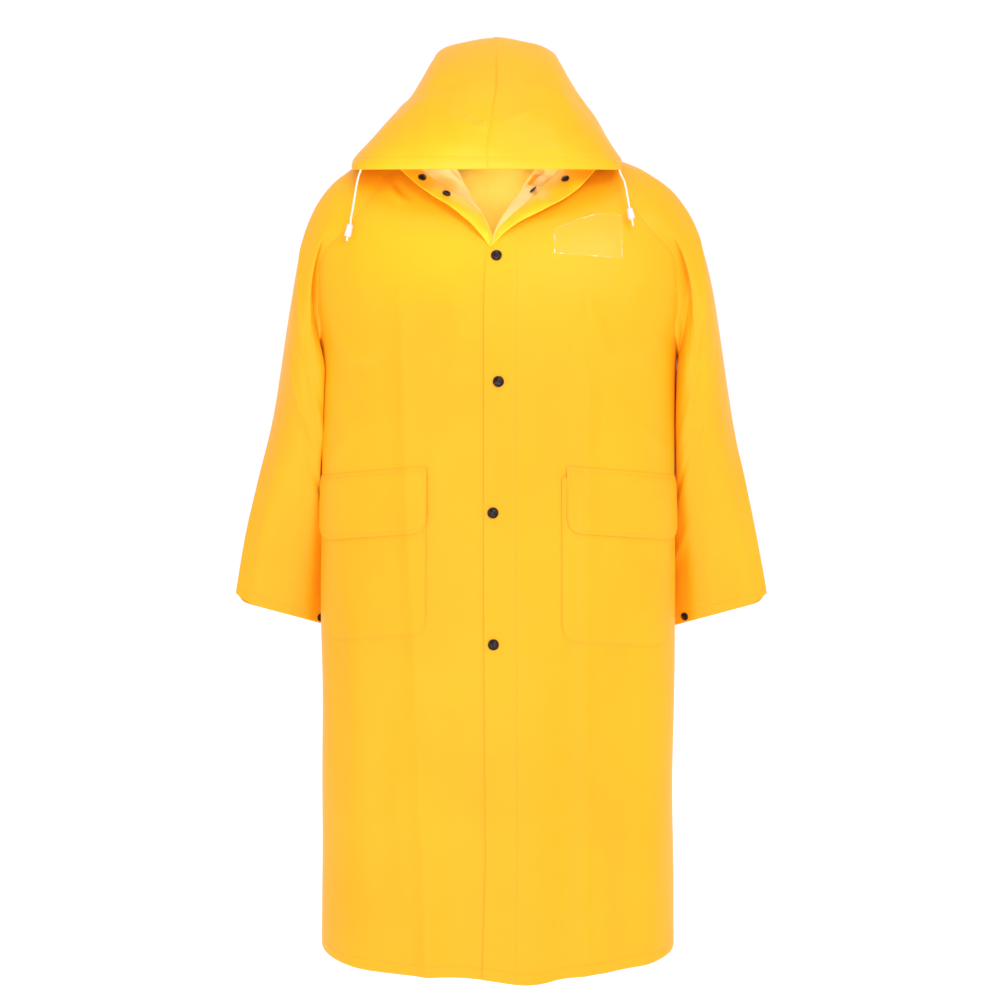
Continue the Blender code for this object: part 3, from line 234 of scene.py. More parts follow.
RINGS = (
    Ring(0.088, 0.050, 0.010, -0.072, -0.020, 0.088, 0.060, 2.0),  # neck
    Ring(0.130, 0.042, 0.008, -0.098, -0.040, 0.105, 0.045, 2.0),
    Ring(0.172, 0.034, 0.005, -0.117, -0.060, 0.117, 0.022, 2.0),
    Ring(0.208, 0.026, 0.002, -0.130, -0.080, 0.124, -0.005, 2.0),
    Ring(0.240, 0.012, 0.000, -0.139, -0.102, 0.128, -0.035, 2.0),  # shoulder
    Ring(0.266, -0.010, -0.003, -0.145, -0.126, 0.130, -0.067, 2.0),
    Ring(0.283, -0.045, -0.006, -0.149, -0.152, 0.130, -0.100, 2.0),
    Ring(0.290, -0.090, -0.010, -0.152, -0.180, 0.128, -0.138, 2.0),  # upper arm
    Ring(0.287, -0.140, -0.014, -0.153, -0.212, 0.125, -0.176, 2.0),
    Ring(0.280, -0.180, -0.017, -0.153, -0.235, 0.123, -0.205, 2.0),  # armhole starts to turn under
    Ring(0.272, -0.215, -0.019, -0.153, -0.258, 0.121, -0.234, 2.0),
    Ring(0.266, -0.250, -0.020, -0.153, -0.285, 0.120, -0.262, 2.0),  # underarm
    Ring(0.264, -0.330, -0.020, -0.153, -0.350, 0.119, -0.338, 2.0),
    Ring(0.263, -0.460, -0.020, -0.152, -0.468, 0.119, -0.464, 1.6),
    Ring(0.263, -0.620, -0.020, -0.151, -0.622, 0.120, -0.621, 1.3),
    Ring(0.261, -0.780, -0.020, -0.150, -0.781, 0.122, -0.781, 1.1),
    Ring(0.260, -0.930, -0.020, -0.150, -0.936, 0.124, -0.935, 0.9),
    Ring(0.261, -1.040, -0.020, -0.150, -1.063, 0.126, -1.060, 0.8),
    Ring(0.262, -1.115, -0.020, -0.150, -1.149, 0.126, -1.146, 0.7),  # hem
)
ARMHOLE_TURN, UNDERARM_RING, HEM_RING = 9, 11, len(RINGS) - 1


@dataclass(frozen=True)
class SeamRow:
    """A height, and how far from the middle the raglan seams lie there at the front and at the back."""

    z: float
    front_x: float
    back_x: float


RAGLAN = (
    SeamRow(0.047, 0.084, 0.082),
    SeamRow(0.036, 0.112, 0.110),
    SeamRow(0.027, 0.138, 0.135),
    SeamRow(0.017, 0.160, 0.150),
    SeamRow(-0.012, 0.177, 0.170),
    SeamRow(-0.040, 0.197, 0.186),
    SeamRow(-0.072, 0.221, 0.204),
    SeamRow(-0.100, 0.251, 0.222),
    SeamRow(-0.120, 0.260, 0.234),
    SeamRow(-0.170, 0.2625, 0.250),
    SeamRow(-0.240, 0.264, 0.256),
)


@dataclass(frozen=True)
class EdgeRow:
    """A height, and where each front's inner edge lies there, counted from the middle to its own side."""

    z: float
    right_x: float
    left_x: float


FRONT_EDGES = (
    EdgeRow(0.0215, 0.0619, 0.0575),
    EdgeRow(-0.0050, 0.0469, 0.0385),
    EdgeRow(-0.0277, 0.0364, 0.0230),
    EdgeRow(-0.0515, 0.0218, 0.0080),
    EdgeRow(-0.0801, 0.0101, -0.0045),
    EdgeRow(-0.0960, 0.0080, -0.0090),
    EdgeRow(-0.1080, -0.0120, -0.0157),
    EdgeRow(-0.1250, -0.0260, -0.0175),
    EdgeRow(-0.1800, -0.0260, -0.0200),
    EdgeRow(-0.6100, -0.0260, -0.0200),
    EdgeRow(-0.9800, -0.0260, -0.0171),
    EdgeRow(-1.1500, -0.0260, -0.0221),
)

LONG = -1.42  # a fold that is still there at the hem ends below it
FRONT_FOLDS = (  # the large folds, which the solids have too
    Crease((-0.143, -0.100), (-0.0885, LONG), 0.0042, 0.013, fade=0.17),
    Crease((0.129, -0.100), (0.123, LONG), 0.0042, 0.013, fade=0.17),
    Crease((-0.214, -0.480), (-0.191, LONG), 0.0060, 0.034, fade=0.23),
    Crease((-0.046, -0.640), (-0.0627, LONG), -0.0050, 0.026, fade=0.28),
    Crease((0.066, -0.560), (0.058, LONG), 0.0058, 0.028, fade=0.25),
    Crease((0.190, -0.520), (0.185, LONG), -0.0056, 0.030, fade=0.24),
)
BACK_FOLDS = (
    Crease((0.000, -0.150), (0.0048, LONG), 0.0040, 0.013, fade=0.17),
    Crease((-0.132, -0.180), (-0.1174, LONG), 0.0038, 0.014, fade=0.18),
    Crease((0.128, -0.200), (0.1378, LONG), 0.0038, 0.014, fade=0.18),
    Crease((-0.190, -0.420), (-0.2092, LONG), -0.0060, 0.032, fade=0.22),
    Crease((-0.062, -0.380), (-0.072, LONG), -0.0052, 0.030, fade=0.21),
    Crease((0.070, -0.460), (0.062, LONG), 0.0056, 0.030, fade=0.23),
    Crease((0.205, -0.360), (0.1987, LONG), 0.0054, 0.034, fade=0.21),
)
FRONT_CREASES = FRONT_FOLDS + (  # pressed in the pack, pulled from the seams, and hung
    Crease((-0.143, -0.110), (-0.0885, LONG), 0.0012, 0.0050, sharpness=1.0, fade=0.05),
    Crease((0.129, -0.110), (0.123, LONG), 0.0012, 0.0050, sharpness=1.0, fade=0.05),
    Crease((0.124, -0.150), (0.175, -0.290), 0.0028, 0.012, bow=0.006),
    Crease((0.104, -0.175), (0.150, -0.330), -0.0022, 0.015, bow=0.010),
    Crease((0.252, -0.215), (0.150, -0.262), 0.0030, 0.011, bow=-0.010),
    Crease((0.250, -0.246), (0.172, -0.330), -0.0026, 0.012, bow=-0.008),
    Crease((0.238, -0.130), (0.176, -0.196), 0.0020, 0.010, bow=0.006),
    Crease((0.046, -0.130), (0.060, -0.300), -0.0018, 0.014, bow=0.006),
    Crease((-0.252, -0.205), (-0.166, -0.268), 0.0032, 0.012, bow=0.012),
    Crease((-0.250, -0.250), (-0.190, -0.352), -0.0027, 0.013, bow=0.008),
    Crease((-0.236, -0.120), (-0.170, -0.205), 0.0022, 0.011, bow=-0.006),
    Crease((-0.164, 0.006), (-0.132, -0.036), 0.0022, 0.006, bow=0.004),
    Crease((-0.152, 0.004), (-0.120, -0.030), -0.0020, 0.005, bow=0.003),
    Crease((-0.060, -0.140), (-0.072, -0.330), 0.0018, 0.015, bow=-0.008),
    Crease((-0.090, -0.330), (-0.052, -0.560), 0.0020, 0.016, bow=0.010),
    Crease((0.082, -0.330), (0.050, -0.520), 0.0016, 0.014, bow=-0.012),
    Crease((-0.012, -0.420), (-0.060, -0.640), -0.0016, 0.014, bow=0.006),
    Crease((0.230, -0.700), (0.216, LONG), 0.0028, 0.016, bow=0.004, fade=0.35),
    Crease((-0.160, -0.720), (-0.150, -1.080), -0.0030, 0.018, bow=0.010),
    Crease((-0.236, -0.560), (-0.228, -0.960), -0.0028, 0.014, bow=-0.006),
    Crease((0.096, -0.760), (0.090, LONG), -0.0030, 0.016, bow=0.006, fade=0.35),
    Crease((0.020, -0.700), (0.034, -1.120), 0.0020, 0.016, bow=-0.008),
    Crease((0.150, -0.880), (0.160, LONG), 0.0026, 0.015, fade=0.3),
    Crease((-0.080, -0.880), (-0.120, LONG), 0.0022, 0.016, fade=0.3),
    Crease((-0.210, -0.360), (-0.252, -0.420), 0.0018, 0.010),
    Crease((0.200, -0.352), (0.254, -0.400), 0.0018, 0.010),
)
BACK_CREASES = BACK_FOLDS + (
    Crease((0.000, -0.160), (0.0048, LONG), 0.0012, 0.0050, sharpness=1.0, fade=0.05),
    Crease((-0.132, -0.200), (-0.1174, LONG), 0.0010, 0.0055, sharpness=1.0, fade=0.05),
    Crease((0.128, -0.210), (0.1378, LONG), 0.0010, 0.0055, sharpness=1.0, fade=0.05),
    Crease((-0.240, -0.190), (-0.130, -0.240), 0.0034, 0.012, bow=0.012),
    Crease((-0.244, -0.230), (-0.150, -0.320), -0.0030, 0.013, bow=0.010),
    Crease((0.242, -0.196), (0.150, -0.226), 0.0030, 0.011, bow=-0.010),
    Crease((0.246, -0.240), (0.140, -0.318), -0.0030, 0.013, bow=-0.012),
    Crease((-0.110, 0.010), (-0.150, -0.100), 0.0026, 0.013, bow=0.006),
    Crease((0.100, 0.016), (0.136, -0.090), 0.0026, 0.013, bow=-0.008),
    Crease((-0.040, 0.020), (-0.070, -0.160), -0.0020, 0.018, bow=0.008),
    Crease((0.046, 0.016), (0.060, -0.200), 0.0018, 0.018, bow=-0.006),
    Crease((-0.170, -0.330), (-0.060, -0.380), 0.0018, 0.014, bow=0.010),
    Crease((0.060, -0.420), (0.180, -0.372), 0.0016, 0.014, bow=0.010),
    Crease((-0.100, -0.560), (-0.090, -1.000), 0.0030, 0.018, bow=0.010),
    Crease((0.036, -0.640), (0.030, LONG), -0.0034, 0.018, bow=-0.008),
    Crease((0.170, -0.600), (0.176, LONG), -0.0034, 0.018, bow=0.006),
    Crease((-0.232, -0.700), (-0.238, LONG), 0.0030, 0.016),
    Crease((-0.026, -0.800), (-0.030, LONG), 0.0026, 0.016),
    Crease((0.100, -0.860), (0.096, LONG), 0.0026, 0.017),
)


@dataclass(frozen=True)
class Hull:
    """The coat's body as one family of rings from the neck to the hem.

    A place on it is a ring, counted from the neck, and an angle that is 0 at the front and grows to the
    wearer's left.
    """

    oval_power: float = 0.87
    yoke_run: float = 0.30  # about how long the body is, from the neck to where the armhole turns under
    turn_run: float = 0.09
    skirt_run: float = 0.90
    hem_dip_at: float = 0.040
    hem_dip_width: float = 0.050
    hem_dip: float = 0.009
    hem_rings: float = 2.5
    flutter: float = 0.0009
    still_above: float = 0.1  # below the neck
    flutter_grows: float = 0.4
    flutter_waves: Table = ((31.0, 9.0, 0.4), (57.0, -17.0, 2.1), (19.0, 26.0, 4.4))  # round, down and phase

    def value(self, name: str, ring: Array) -> Array:
        """One of the rings' sizes between the rings."""
        return smooth([getattr(row, name) for row in RINGS], ring)

    def bare(self, ring: Any, angle: Any) -> Array:
        """Points of the body without its folds.

        Args:
            ring: Places down the body.
            angle: Places round it.

        Returns:
            The points.
        """
        ring, angle = np.broadcast_arrays(np.asarray(ring, float), np.asarray(angle, float))
        sine, cosine = np.sin(angle), np.cos(angle)
        front = cosine >= 0
        end_y = np.where(front, self.value("front_y", ring), self.value("back_y", ring))
        end_z = np.where(front, self.value("front_z", ring), self.value("back_z", ring))
        mid_y, side_z = self.value("mid_y", ring), self.value("side_z", ring)
        x = self.value("half_width", ring) * np.sign(sine) * np.abs(sine) ** self.oval_power
        y = mid_y + (end_y - mid_y) * np.abs(cosine) ** self.oval_power
        z = side_z + (end_z - side_z) * np.abs(cosine) ** self.value("bow", ring)
        near_hem = ease((ring - (HEM_RING - self.hem_rings)) / self.hem_rings)
        dip = self.hem_dip * near_hem * np.exp(-(((x - self.hem_dip_at) / self.hem_dip_width) ** 2))
        return np.stack([x, y, z - np.where(front, dip, 0.0)], axis=-1)

    def facing(self, ring: Any, angle: Any) -> Array:
        """The outward directions, from short steps along the rings and across them.

        Args:
            ring: Places down the body.
            angle: Places round it.

        Returns:
            A direction for each place.
        """
        step = 1e-3
        ring = np.clip(ring, step, HEM_RING - step)
        across = self.bare(ring, angle + step) - self.bare(ring, angle - step)
        down = self.bare(ring + step, angle) - self.bare(ring - step, angle)
        return unit(np.cross(down, across))

    def rise(self, points: Array, angle: Array) -> Array:
        """How far the folds, the creases and a slight flutter lift points of the body.

        Args:
            points: Points of the bare body.
            angle: Their angles round it.

        Returns:
            The rise of each one.
        """
        x, y, z = points[..., 0], points[..., 1], points[..., 2]
        front, back = rise_of(FRONT_CREASES, x, z), rise_of(BACK_CREASES, x, z)
        share = ease(0.5 + np.cos(angle) * 4)
        total = front * share + back * (1 - share)
        for along, down, phase in self.flutter_waves:
            wave = np.sin(along * (x + y) + down * z + phase)
            total = total + self.flutter / 2 * wave * ease((-z - self.still_above) / self.flutter_grows)
        return total

    def skin(self, ring: Any, angle: Any, lift: Any = 0.0) -> Array:
        """Points of the body's outer face, with its folds, moved out by lift.

        Args:
            ring: Places down the body.
            angle: Places round it.
            lift: Distances off the cloth.

        Returns:
            The points.
        """
        ring, angle = np.broadcast_arrays(np.asarray(ring, float), np.asarray(angle, float))
        points = self.bare(ring, angle)
        return points + (self.rise(points, angle) + lift)[..., None] * self.facing(ring, angle)

    def angle_for_x(self, ring: Array, x: Array) -> Array:
        """The angle on the front half of a ring at a distance x from the middle."""
        share = np.clip(np.abs(x) / self.value("half_width", ring), 0, 1)
        return np.sign(x) * np.arcsin(share ** (1 / self.oval_power))

    def place_on_front(self, x: Any, z: Any) -> tuple[Array, Array]:
        """Finds the points of the front at x and z.

        Args:
            x: Distances from the middle.
            z: Heights.

        Returns:
            Their rings and their angles.
        """
        x, z = np.broadcast_arrays(np.asarray(x, float), np.asarray(z, float))
        ring = solve(lambda r: z - self.bare(r, self.angle_for_x(r, x))[..., 2], np.zeros(x.shape), HEM_RING)
        return ring, self.angle_for_x(ring, x)

    def over_front(self, x: Any, z: Any, lift: Any) -> Array:
        """Points that lie over the front by lift and are at x and z; above the neck they go straight up.

        Args:
            x: Distances from the middle.
            z: Heights.
            lift: Distances off the cloth.

        Returns:
            The points.
        """
        x, z, lift = np.broadcast_arrays(*(np.asarray(v, float) for v in (x, z, lift)))
        foot_x, foot_z = x, z
        for _ in range(4):
            ring, angle = self.place_on_front(foot_x, foot_z)
            normal = self.facing(ring, angle)
            foot_x, foot_z = x - lift * normal[..., 0], z - lift * normal[..., 2]
        point = self.skin(ring, angle, lift)
        point[..., 2] += np.maximum(z - point[..., 2], 0)
        return point

    def ring_at_side(self, z: Array) -> Array:
        """The rings that pass through heights at the sides."""
        return solve(lambda ring: z - self.value("side_z", ring), np.zeros(np.shape(z)), HEM_RING)

    def seam_angle(self, ring: Any, front: bool) -> Array:
        """The raglan seam's angle on a ring. Below the underarm it is the side seam.

        Args:
            ring: Places down the body.
            front: Whether it is the front's seam, not the back's.

        Returns:
            The angles.
        """
        ring = np.asarray(ring, float)
        heights = [row.z for row in RAGLAN][::-1]
        reach = [row.front_x if front else row.back_x for row in RAGLAN][::-1]

        def past_seam(turn: Array) -> Array:
            """How far a place lies past the seam."""
            points = self.bare(np.minimum(ring, ARMHOLE_TURN), turn if front else HALF_TURN - turn)
            return points[..., 0] - np.interp(points[..., 2], heights, reach)

        turn = solve(past_seam, np.full(ring.shape, 0.3), QUARTER_TURN)
        under = np.clip((ring - ARMHOLE_TURN) / (UNDERARM_RING - ARMHOLE_TURN), 0, 1)
        turn = turn + (QUARTER_TURN - turn) * (1 - np.sqrt(1 - under**2))
        return turn if front else HALF_TURN - turn

    def edge_angle(self, ring: Array, side: Side) -> Array:
        """The angle of a front's inner edge on a ring, counted towards its own side.

        Args:
            ring: Places down the body.
            side: The front's side.

        Returns:
            The angles.
        """
        heights = [row.z for row in FRONT_EDGES][::-1]
        reach = [row.right_x if side is Side.RIGHT else row.left_x for row in FRONT_EDGES][::-1]

        def past_edge(turn: Array) -> Array:
            """How far a place lies past the edge."""
            points = self.bare(ring, turn)
            return points[..., 0] - np.interp(points[..., 2], heights, reach)

        return solve(past_edge, np.full(ring.shape, -0.6), QUARTER_TURN)

    def rows(self) -> Array:
        """The rows of a panel, closer together where the armhole turns under.

        Returns:
            The ring of each row.
        """
        yoke = np.linspace(0, ARMHOLE_TURN, round(self.yoke_run / CELL), endpoint=False)
        closer = np.sin(np.linspace(0, QUARTER_TURN, round(self.turn_run / CELL)))
        turn = ARMHOLE_TURN + (UNDERARM_RING - ARMHOLE_TURN) * closer
        skirt = np.linspace(UNDERARM_RING, HEM_RING, round(self.skirt_run / CELL))[1:]
        return np.concatenate([yoke, turn, skirt])

    def spread(self, rings: Array, starts: Array, ends: Array, columns: int) -> Array:
        """Angles of a panel's points, evenly spaced along the cloth of each ring.

        Args:
            rings: The ring of each row.
            starts: The angle where each row starts.
            ends: The angle where it ends.
            columns: How many points a row has.

        Returns:
            A grid of angles.
        """
        fine = np.linspace(0, 1, 140)
        angles = starts[:, None] + (ends - starts)[:, None] * fine
        along = walked(self.bare(rings[:, None], angles), 1)
        shares = np.linspace(0, 1, columns)
        return np.array([np.interp(shares * a[-1], a, turn) for a, turn in zip(along, angles)])


# ================================================================ pieces of cloth
@dataclass
class Cloth:
    """The outer face of a piece of cloth, as rows and columns of points, and where it is sewn.

    The columns run round and meet again where it is closed. Each entry of sewn is an edge and the distance
    from it of a row of stitches, one number or one for each row.
    """

    points: Array
    facing: Array
    closed: bool = False
    sewn: list[tuple[Edge, Any]] = field(default_factory=list)

    @classmethod
    def over(cls, points: Array, towards: Array, closed: bool = False) -> Cloth:
        """Cloth whose outward directions are worked out from its points.

        Args:
            points: The grid of points.
            towards: A direction, or one for each point, that the face looks roughly in.
            closed: Whether the last column meets the first.

        Returns:
            The cloth.
        """
        down = np.gradient(points, axis=0)
        if closed:
            across = np.roll(points, -1, axis=1) - np.roll(points, 1, axis=1)
        else:
            across = np.gradient(points, axis=1)
        facing = unit(np.cross(down, across))
        return cls(points, facing * np.sign((facing * towards).sum() or 1), closed)

    def raised(self, lift: Any) -> Cloth:
        """The same piece with each point moved out by lift.

        Args:
            lift: How far each point moves.

        Returns:
            The raised piece.
        """
        lift = np.broadcast_to(np.asarray(lift, float), self.points.shape[:2])
        towards = self.facing
        moved = Cloth.over(self.points + lift[..., None] * towards, towards, self.closed)
        moved.sewn = self.sewn
        return moved

    def distance(self, edge: Edge) -> Array:
        """How far each point is from an edge, along the cloth.

        Args:
            edge: The edge.

        Returns:
            A distance for each point.
        """
        along = walked(self.points, 0 if edge in (Edge.TOP, Edge.FOOT) else 1)
        if edge is Edge.FOOT:
            return along[-1:] - along
        if edge is Edge.END:
            return along[:, -1:] - along
        return along

    def sewing_map(self) -> Array:
        """The signed distances from the nearest stitches, across the cloth and along it.

        Returns:
            Two distances for each point.
        """
        apart = np.ones((*self.points.shape[:2], 2))
        for edge, inset in self.sewn:
            way = 1 if edge in (Edge.TOP, Edge.FOOT) else 0
            inset = np.asarray(inset, float)
            inset = inset[:, None] if inset.ndim and way == 0 else inset
            apart[..., way] = np.minimum(apart[..., way], self.distance(edge) - inset)
        return apart

    def area(self) -> float:
        """Measures the piece.

        Returns:
            Its area in square metres.
        """
        p = np.concatenate([self.points, self.points[:, :1]], axis=1) if self.closed else self.points
        first = np.cross(p[1:, 1:] - p[:-1, :-1], p[1:, :-1] - p[:-1, 1:])
        return float(np.linalg.norm(first, axis=-1).sum() / 2)

    def stitch_lines(self) -> list[tuple[Array, Array]]:
        """Lays out the rows of stitches.

        Returns:
            The points of each row and the directions that they face in.
        """
        lines = []
        for edge, inset in self.sewn:
            across_rows = edge in (Edge.START, Edge.END)
            away = self.distance(edge)
            points, facing = self.points, self.facing
            if not across_rows:
                away, points, facing = away.T, points.transpose(1, 0, 2), facing.transpose(1, 0, 2)
            insets = np.broadcast_to(np.asarray(inset, float), (len(away),))
            order = slice(None, None, -1) if edge in (Edge.END, Edge.FOOT) else slice(None)
            line, looks = [], []
            for row, p, n, depth in zip(away[:, order], points[:, order], facing[:, order], insets):
                if row[-1] > depth * 1.2:
                    line.append([np.interp(depth, row, p[:, k]) for k in range(3)])
                    looks.append([np.interp(depth, row, n[:, k]) for k in range(3)])
            if len(line) > 2:
                if self.closed and not across_rows:
                    line, looks = line + line[:1], looks + looks[:1]
                lines.append((np.array(line), unit(np.array(looks))))
        return lines

    def make(self, name: str, finish: Material, lining: Material, wall: float = CLOTH) -> Any:
        """Builds the piece as a closed thin shell.

        Args:
            name: The object's name.
            finish: The material of its outer face and its edges.
            lining: The material of its inner face.
            wall: Its thickness.

        Returns:
            The object.
        """
        rows, columns = self.points.shape[:2]
        count = rows * columns
        inner = self.points - wall * self.facing
        vertices = np.concatenate([self.points.reshape(-1, 3), inner.reshape(-1, 3)])
        around = columns if self.closed else columns - 1
        i, j = np.meshgrid(np.arange(rows - 1), np.arange(around), indexing="ij")
        k = (j + 1) % columns
        outer = np.stack([i * columns + j, (i + 1) * columns + j, (i + 1) * columns + k, i * columns + k], -1)
        outer = outer.reshape(-1, 4)
        back = outer[:, ::-1] + count
        rims = [self._rim(np.arange(around), np.arange(1, around + 1) % columns, count)]
        last = (rows - 1) * columns
        rims.append(self._rim(last + np.arange(1, around + 1) % columns, last + np.arange(around), count))
        if not self.closed:
            steps = np.arange(rows - 1) * columns
            rims.append(self._rim(steps + columns, steps, count))
            rims.append(self._rim(steps + columns - 1, steps + 2 * columns - 1, count))
        faces = np.concatenate([outer, back, *rims])
        if self._turned(outer):
            faces = faces[:, ::-1]
        mesh = bpy.data.meshes.new(name)
        mesh.from_pydata(vertices.tolist(), [], faces.tolist())
        mesh.materials.append(finish)
        mesh.materials.append(lining)
        slots = np.zeros(len(faces), int)
        slots[len(outer) : 2 * len(outer)] = 1
        mesh.polygons.foreach_set("material_index", slots)
        self._map(mesh, "cloth", np.stack([walked(self.points, 1), walked(self.points, 0)], -1), count)
        self._map(mesh, "sewing", self.sewing_map(), count)
        mesh.shade_smooth()
        mesh.set_sharp_from_angle(angle=math.radians(CREASED_FROM))
        mesh.update()
        obj = bpy.data.objects.new(name, mesh)
        bpy.context.scene.collection.objects.link(obj)
        return obj

    @staticmethod
    def _rim(first: Array, second: Array, count: int) -> Array:
        """Faces that close the shell along a run of its outer points."""
        return np.stack([first, second, second + count, first + count], -1)

    def _turned(self, outer: Array) -> bool:
        """Tells whether the outer faces look inwards.

        Args:
            outer: The faces, as the numbers of their points.

        Returns:
            True if they do.
        """
        p = self.points.reshape(-1, 3)
        looks = np.cross(p[outer[:, 1]] - p[outer[:, 0]], p[outer[:, 3]] - p[outer[:, 0]])
        return float((looks * self.facing.reshape(-1, 3)[outer[:, 0]]).sum()) < 0

    @staticmethod
    def _map(mesh: bpy.types.Mesh, name: str, values: Array, count: int) -> None:
        """Gives the mesh a map.

        Args:
            mesh: The mesh.
            name: The map's name.
            values: Its value at each outer point.
            count: How many outer points there are.
        """
        layer = mesh.uv_layers.new(name=name)
        corners = np.empty(len(mesh.loops), int)
        mesh.loops.foreach_get("vertex_index", corners)
        layer.data.foreach_set("uv", values.reshape(-1, 2)[corners % count].ravel().astype(np.float32))


# ================================================================ node trees and finishes
def add(tree: NodeTree, kind: str, inputs: dict[Any, Any] | None = None, **settings: Any) -> Any:
    """Adds a node with its settings, and links or sets its inputs.

    Args:
        tree: The tree it goes in.
        kind: The node's type.
        inputs: An output socket to link, or a value to set, for each input by name or number.
        **settings: The node's own properties.

    Returns:
        The node.
    """
    node = tree.nodes.new(kind)
    for name, value in settings.items():
        setattr(node, name, value)
    for socket, value in (inputs or {}).items():
        if isinstance(value, bpy.types.NodeSocket):
            tree.links.new(value, node.inputs[socket])
        else:
            node.inputs[socket].default_value = value
    return node


def linear(hex_colour: str) -> tuple[float, float, float, float]:
    """The linear colour of an sRGB hex value such as #ffc832."""
    channels = [int(hex_colour[k : k + 2], 16) / 255 for k in (1, 3, 5)]
    return (*(c / 12.92 if c <= 0.04045 else ((c + 0.055) / 1.055) ** 2.4 for c in channels), 1.0)


@dataclass(frozen=True)
class Finish:
    """What every finish has: its name, its two colours and its roughness."""

    name: str
    colour: str
    second: str
    roughness: float

    def start(self) -> tuple[Material, NodeTree, Any]:
        """Starts a material with its roughness set.

        Returns:
            The material, its tree and its shader.
        """
        material = bpy.data.materials.new(self.name)
        material.use_nodes = True
        tree = material.node_tree
        shader = tree.nodes["Principled BSDF"]
        shader.inputs["Roughness"].default_value = self.roughness
        material.diffuse_color = linear(self.colour)
        return material, tree, shader

    @property
    def tones(self) -> dict[int, Any]:
        """The two colours, as the inputs of the node that mixes them."""
        return {6: linear(self.colour), 7: linear(self.second)}

    @staticmethod
    def relief(tree: NodeTree, shader: Any, *heights: tuple[Any, float]) -> None:
        """Gives the surface its relief, from several heights added together.

        Args:
            tree: The material's tree.
            shader: Its shader.
            *heights: Outputs, each with the height in metres that a value of 1 stands for.
        """
        total: Any = 0.0
        for socket, depth in heights:
            step = {0: socket, 1: depth, 2: total}
            total = add(tree, "ShaderNodeMath", step, operation="MULTIPLY_ADD").outputs[0]
        bump = add(tree, "ShaderNodeBump", {"Strength": 1.0, "Distance": 1.0, "Height": total})
        tree.links.new(bump.outputs[0], shader.inputs["Normal"])

    @staticmethod
    def stitch_groove(tree: NodeTree, width: float) -> Any:
        """1 along the rows of stitches and 0 away from them, from the sewing map.

        Args:
            tree: The material's tree.
            width: How far from the stitches it fades out.

        Returns:
            The output.
        """
        sewing = add(tree, "ShaderNodeUVMap", uv_map="sewing")
        parts = add(tree, "ShaderNodeSeparateXYZ", {0: sewing.outputs[0]})
        near = []
        for way in (0, 1):
            away = add(tree, "ShaderNodeMath", {0: parts.outputs[way]}, operation="ABSOLUTE")
            settings = {"Value": away.outputs[0], "From Max": width, "To Min": 1.0, "To Max": 0.0}
            near.append(add(tree, "ShaderNodeMapRange", settings, interpolation_type="SMOOTHSTEP").outputs[0])
        return add(tree, "ShaderNodeMath", {0: near[0], 1: near[1]}, operation="MAXIMUM").outputs[0]


@dataclass(frozen=True)
class CoatedCloth(Finish):
    """Woven polyester with a calendered PVC coat: an even satin yellow that is slightly uneven in tone."""

    grain: float = 0.0016  # the emboss of the calender roll; the real 0.5 mm is too fine to show
    grain_depth: float = 0.00003
    crumple: float = 0.055
    crumple_depth: float = 0.0010
    groove: float = 0.0016
    groove_depth: float = 0.00025
    # painted shade: how far the stitch grooves are mixed towards a darker orange
    groove_shade: float = 0.12
    tone: float = 0.2  # the broad patches of a slightly deeper yellow
    # painted shade: the darker orange of the stitch grooves
    groove_shade_colour: str = "#e9a226"

    def build(self) -> Material:
        """Lays the uneven satin yellow, its emboss, its dents and its stitch grooves, with painted shade in
        the grooves: a darker orange.

        Returns:
            The material.
        """
        material, tree, shader = self.start()
        place = add(tree, "ShaderNodeTexCoord").outputs["Object"]
        broad = {"Vector": place, "Scale": 1 / self.tone, "Detail": 4.0, "Roughness": 0.6}
        tone = add(tree, "ShaderNodeTexNoise", broad)
        grain = add(tree, "ShaderNodeTexNoise", {"Vector": place, "Scale": 1 / self.grain, "Detail": 2.0})
        stretched = add(tree, "ShaderNodeMapping", {"Vector": place, "Scale": (1.0, 1.0, 0.42)})
        soft = {"Vector": stretched.outputs[0], "Scale": 1 / self.crumple, "Detail": 3.0, "Roughness": 0.5}
        crumple = add(tree, "ShaderNodeTexNoise", {**soft, "Distortion": 0.6})
        groove = self.stitch_groove(tree, self.groove)
        spread = {"Value": tone.outputs["Fac"], "From Min": 0.35, "From Max": 0.7, "To Max": 0.55}
        uneven = add(tree, "ShaderNodeMapRange", spread)
        face = add(tree, "ShaderNodeMix", {0: uneven.outputs[0], **self.tones}, data_type="RGBA")
        # painted shade: the stitch grooves are mixed towards a darker orange
        shaded = add(tree, "ShaderNodeMath", {0: groove, 1: self.groove_shade}, operation="MULTIPLY")
        both = {0: shaded.outputs[0], 6: face.outputs[2], 7: linear(self.groove_shade_colour)}
        colour = add(tree, "ShaderNodeMix", both, data_type="RGBA")
        tree.links.new(colour.outputs[2], shader.inputs["Base Color"])
        shader.inputs["IOR"].default_value = 1.53
        shader.inputs["Specular IOR Level"].default_value = 0.22
        emboss, dents = (grain.outputs["Fac"], self.grain_depth), (crumple.outputs["Fac"], self.crumple_depth)
        self.relief(tree, shader, emboss, dents, (groove, -self.groove_depth))
        return material


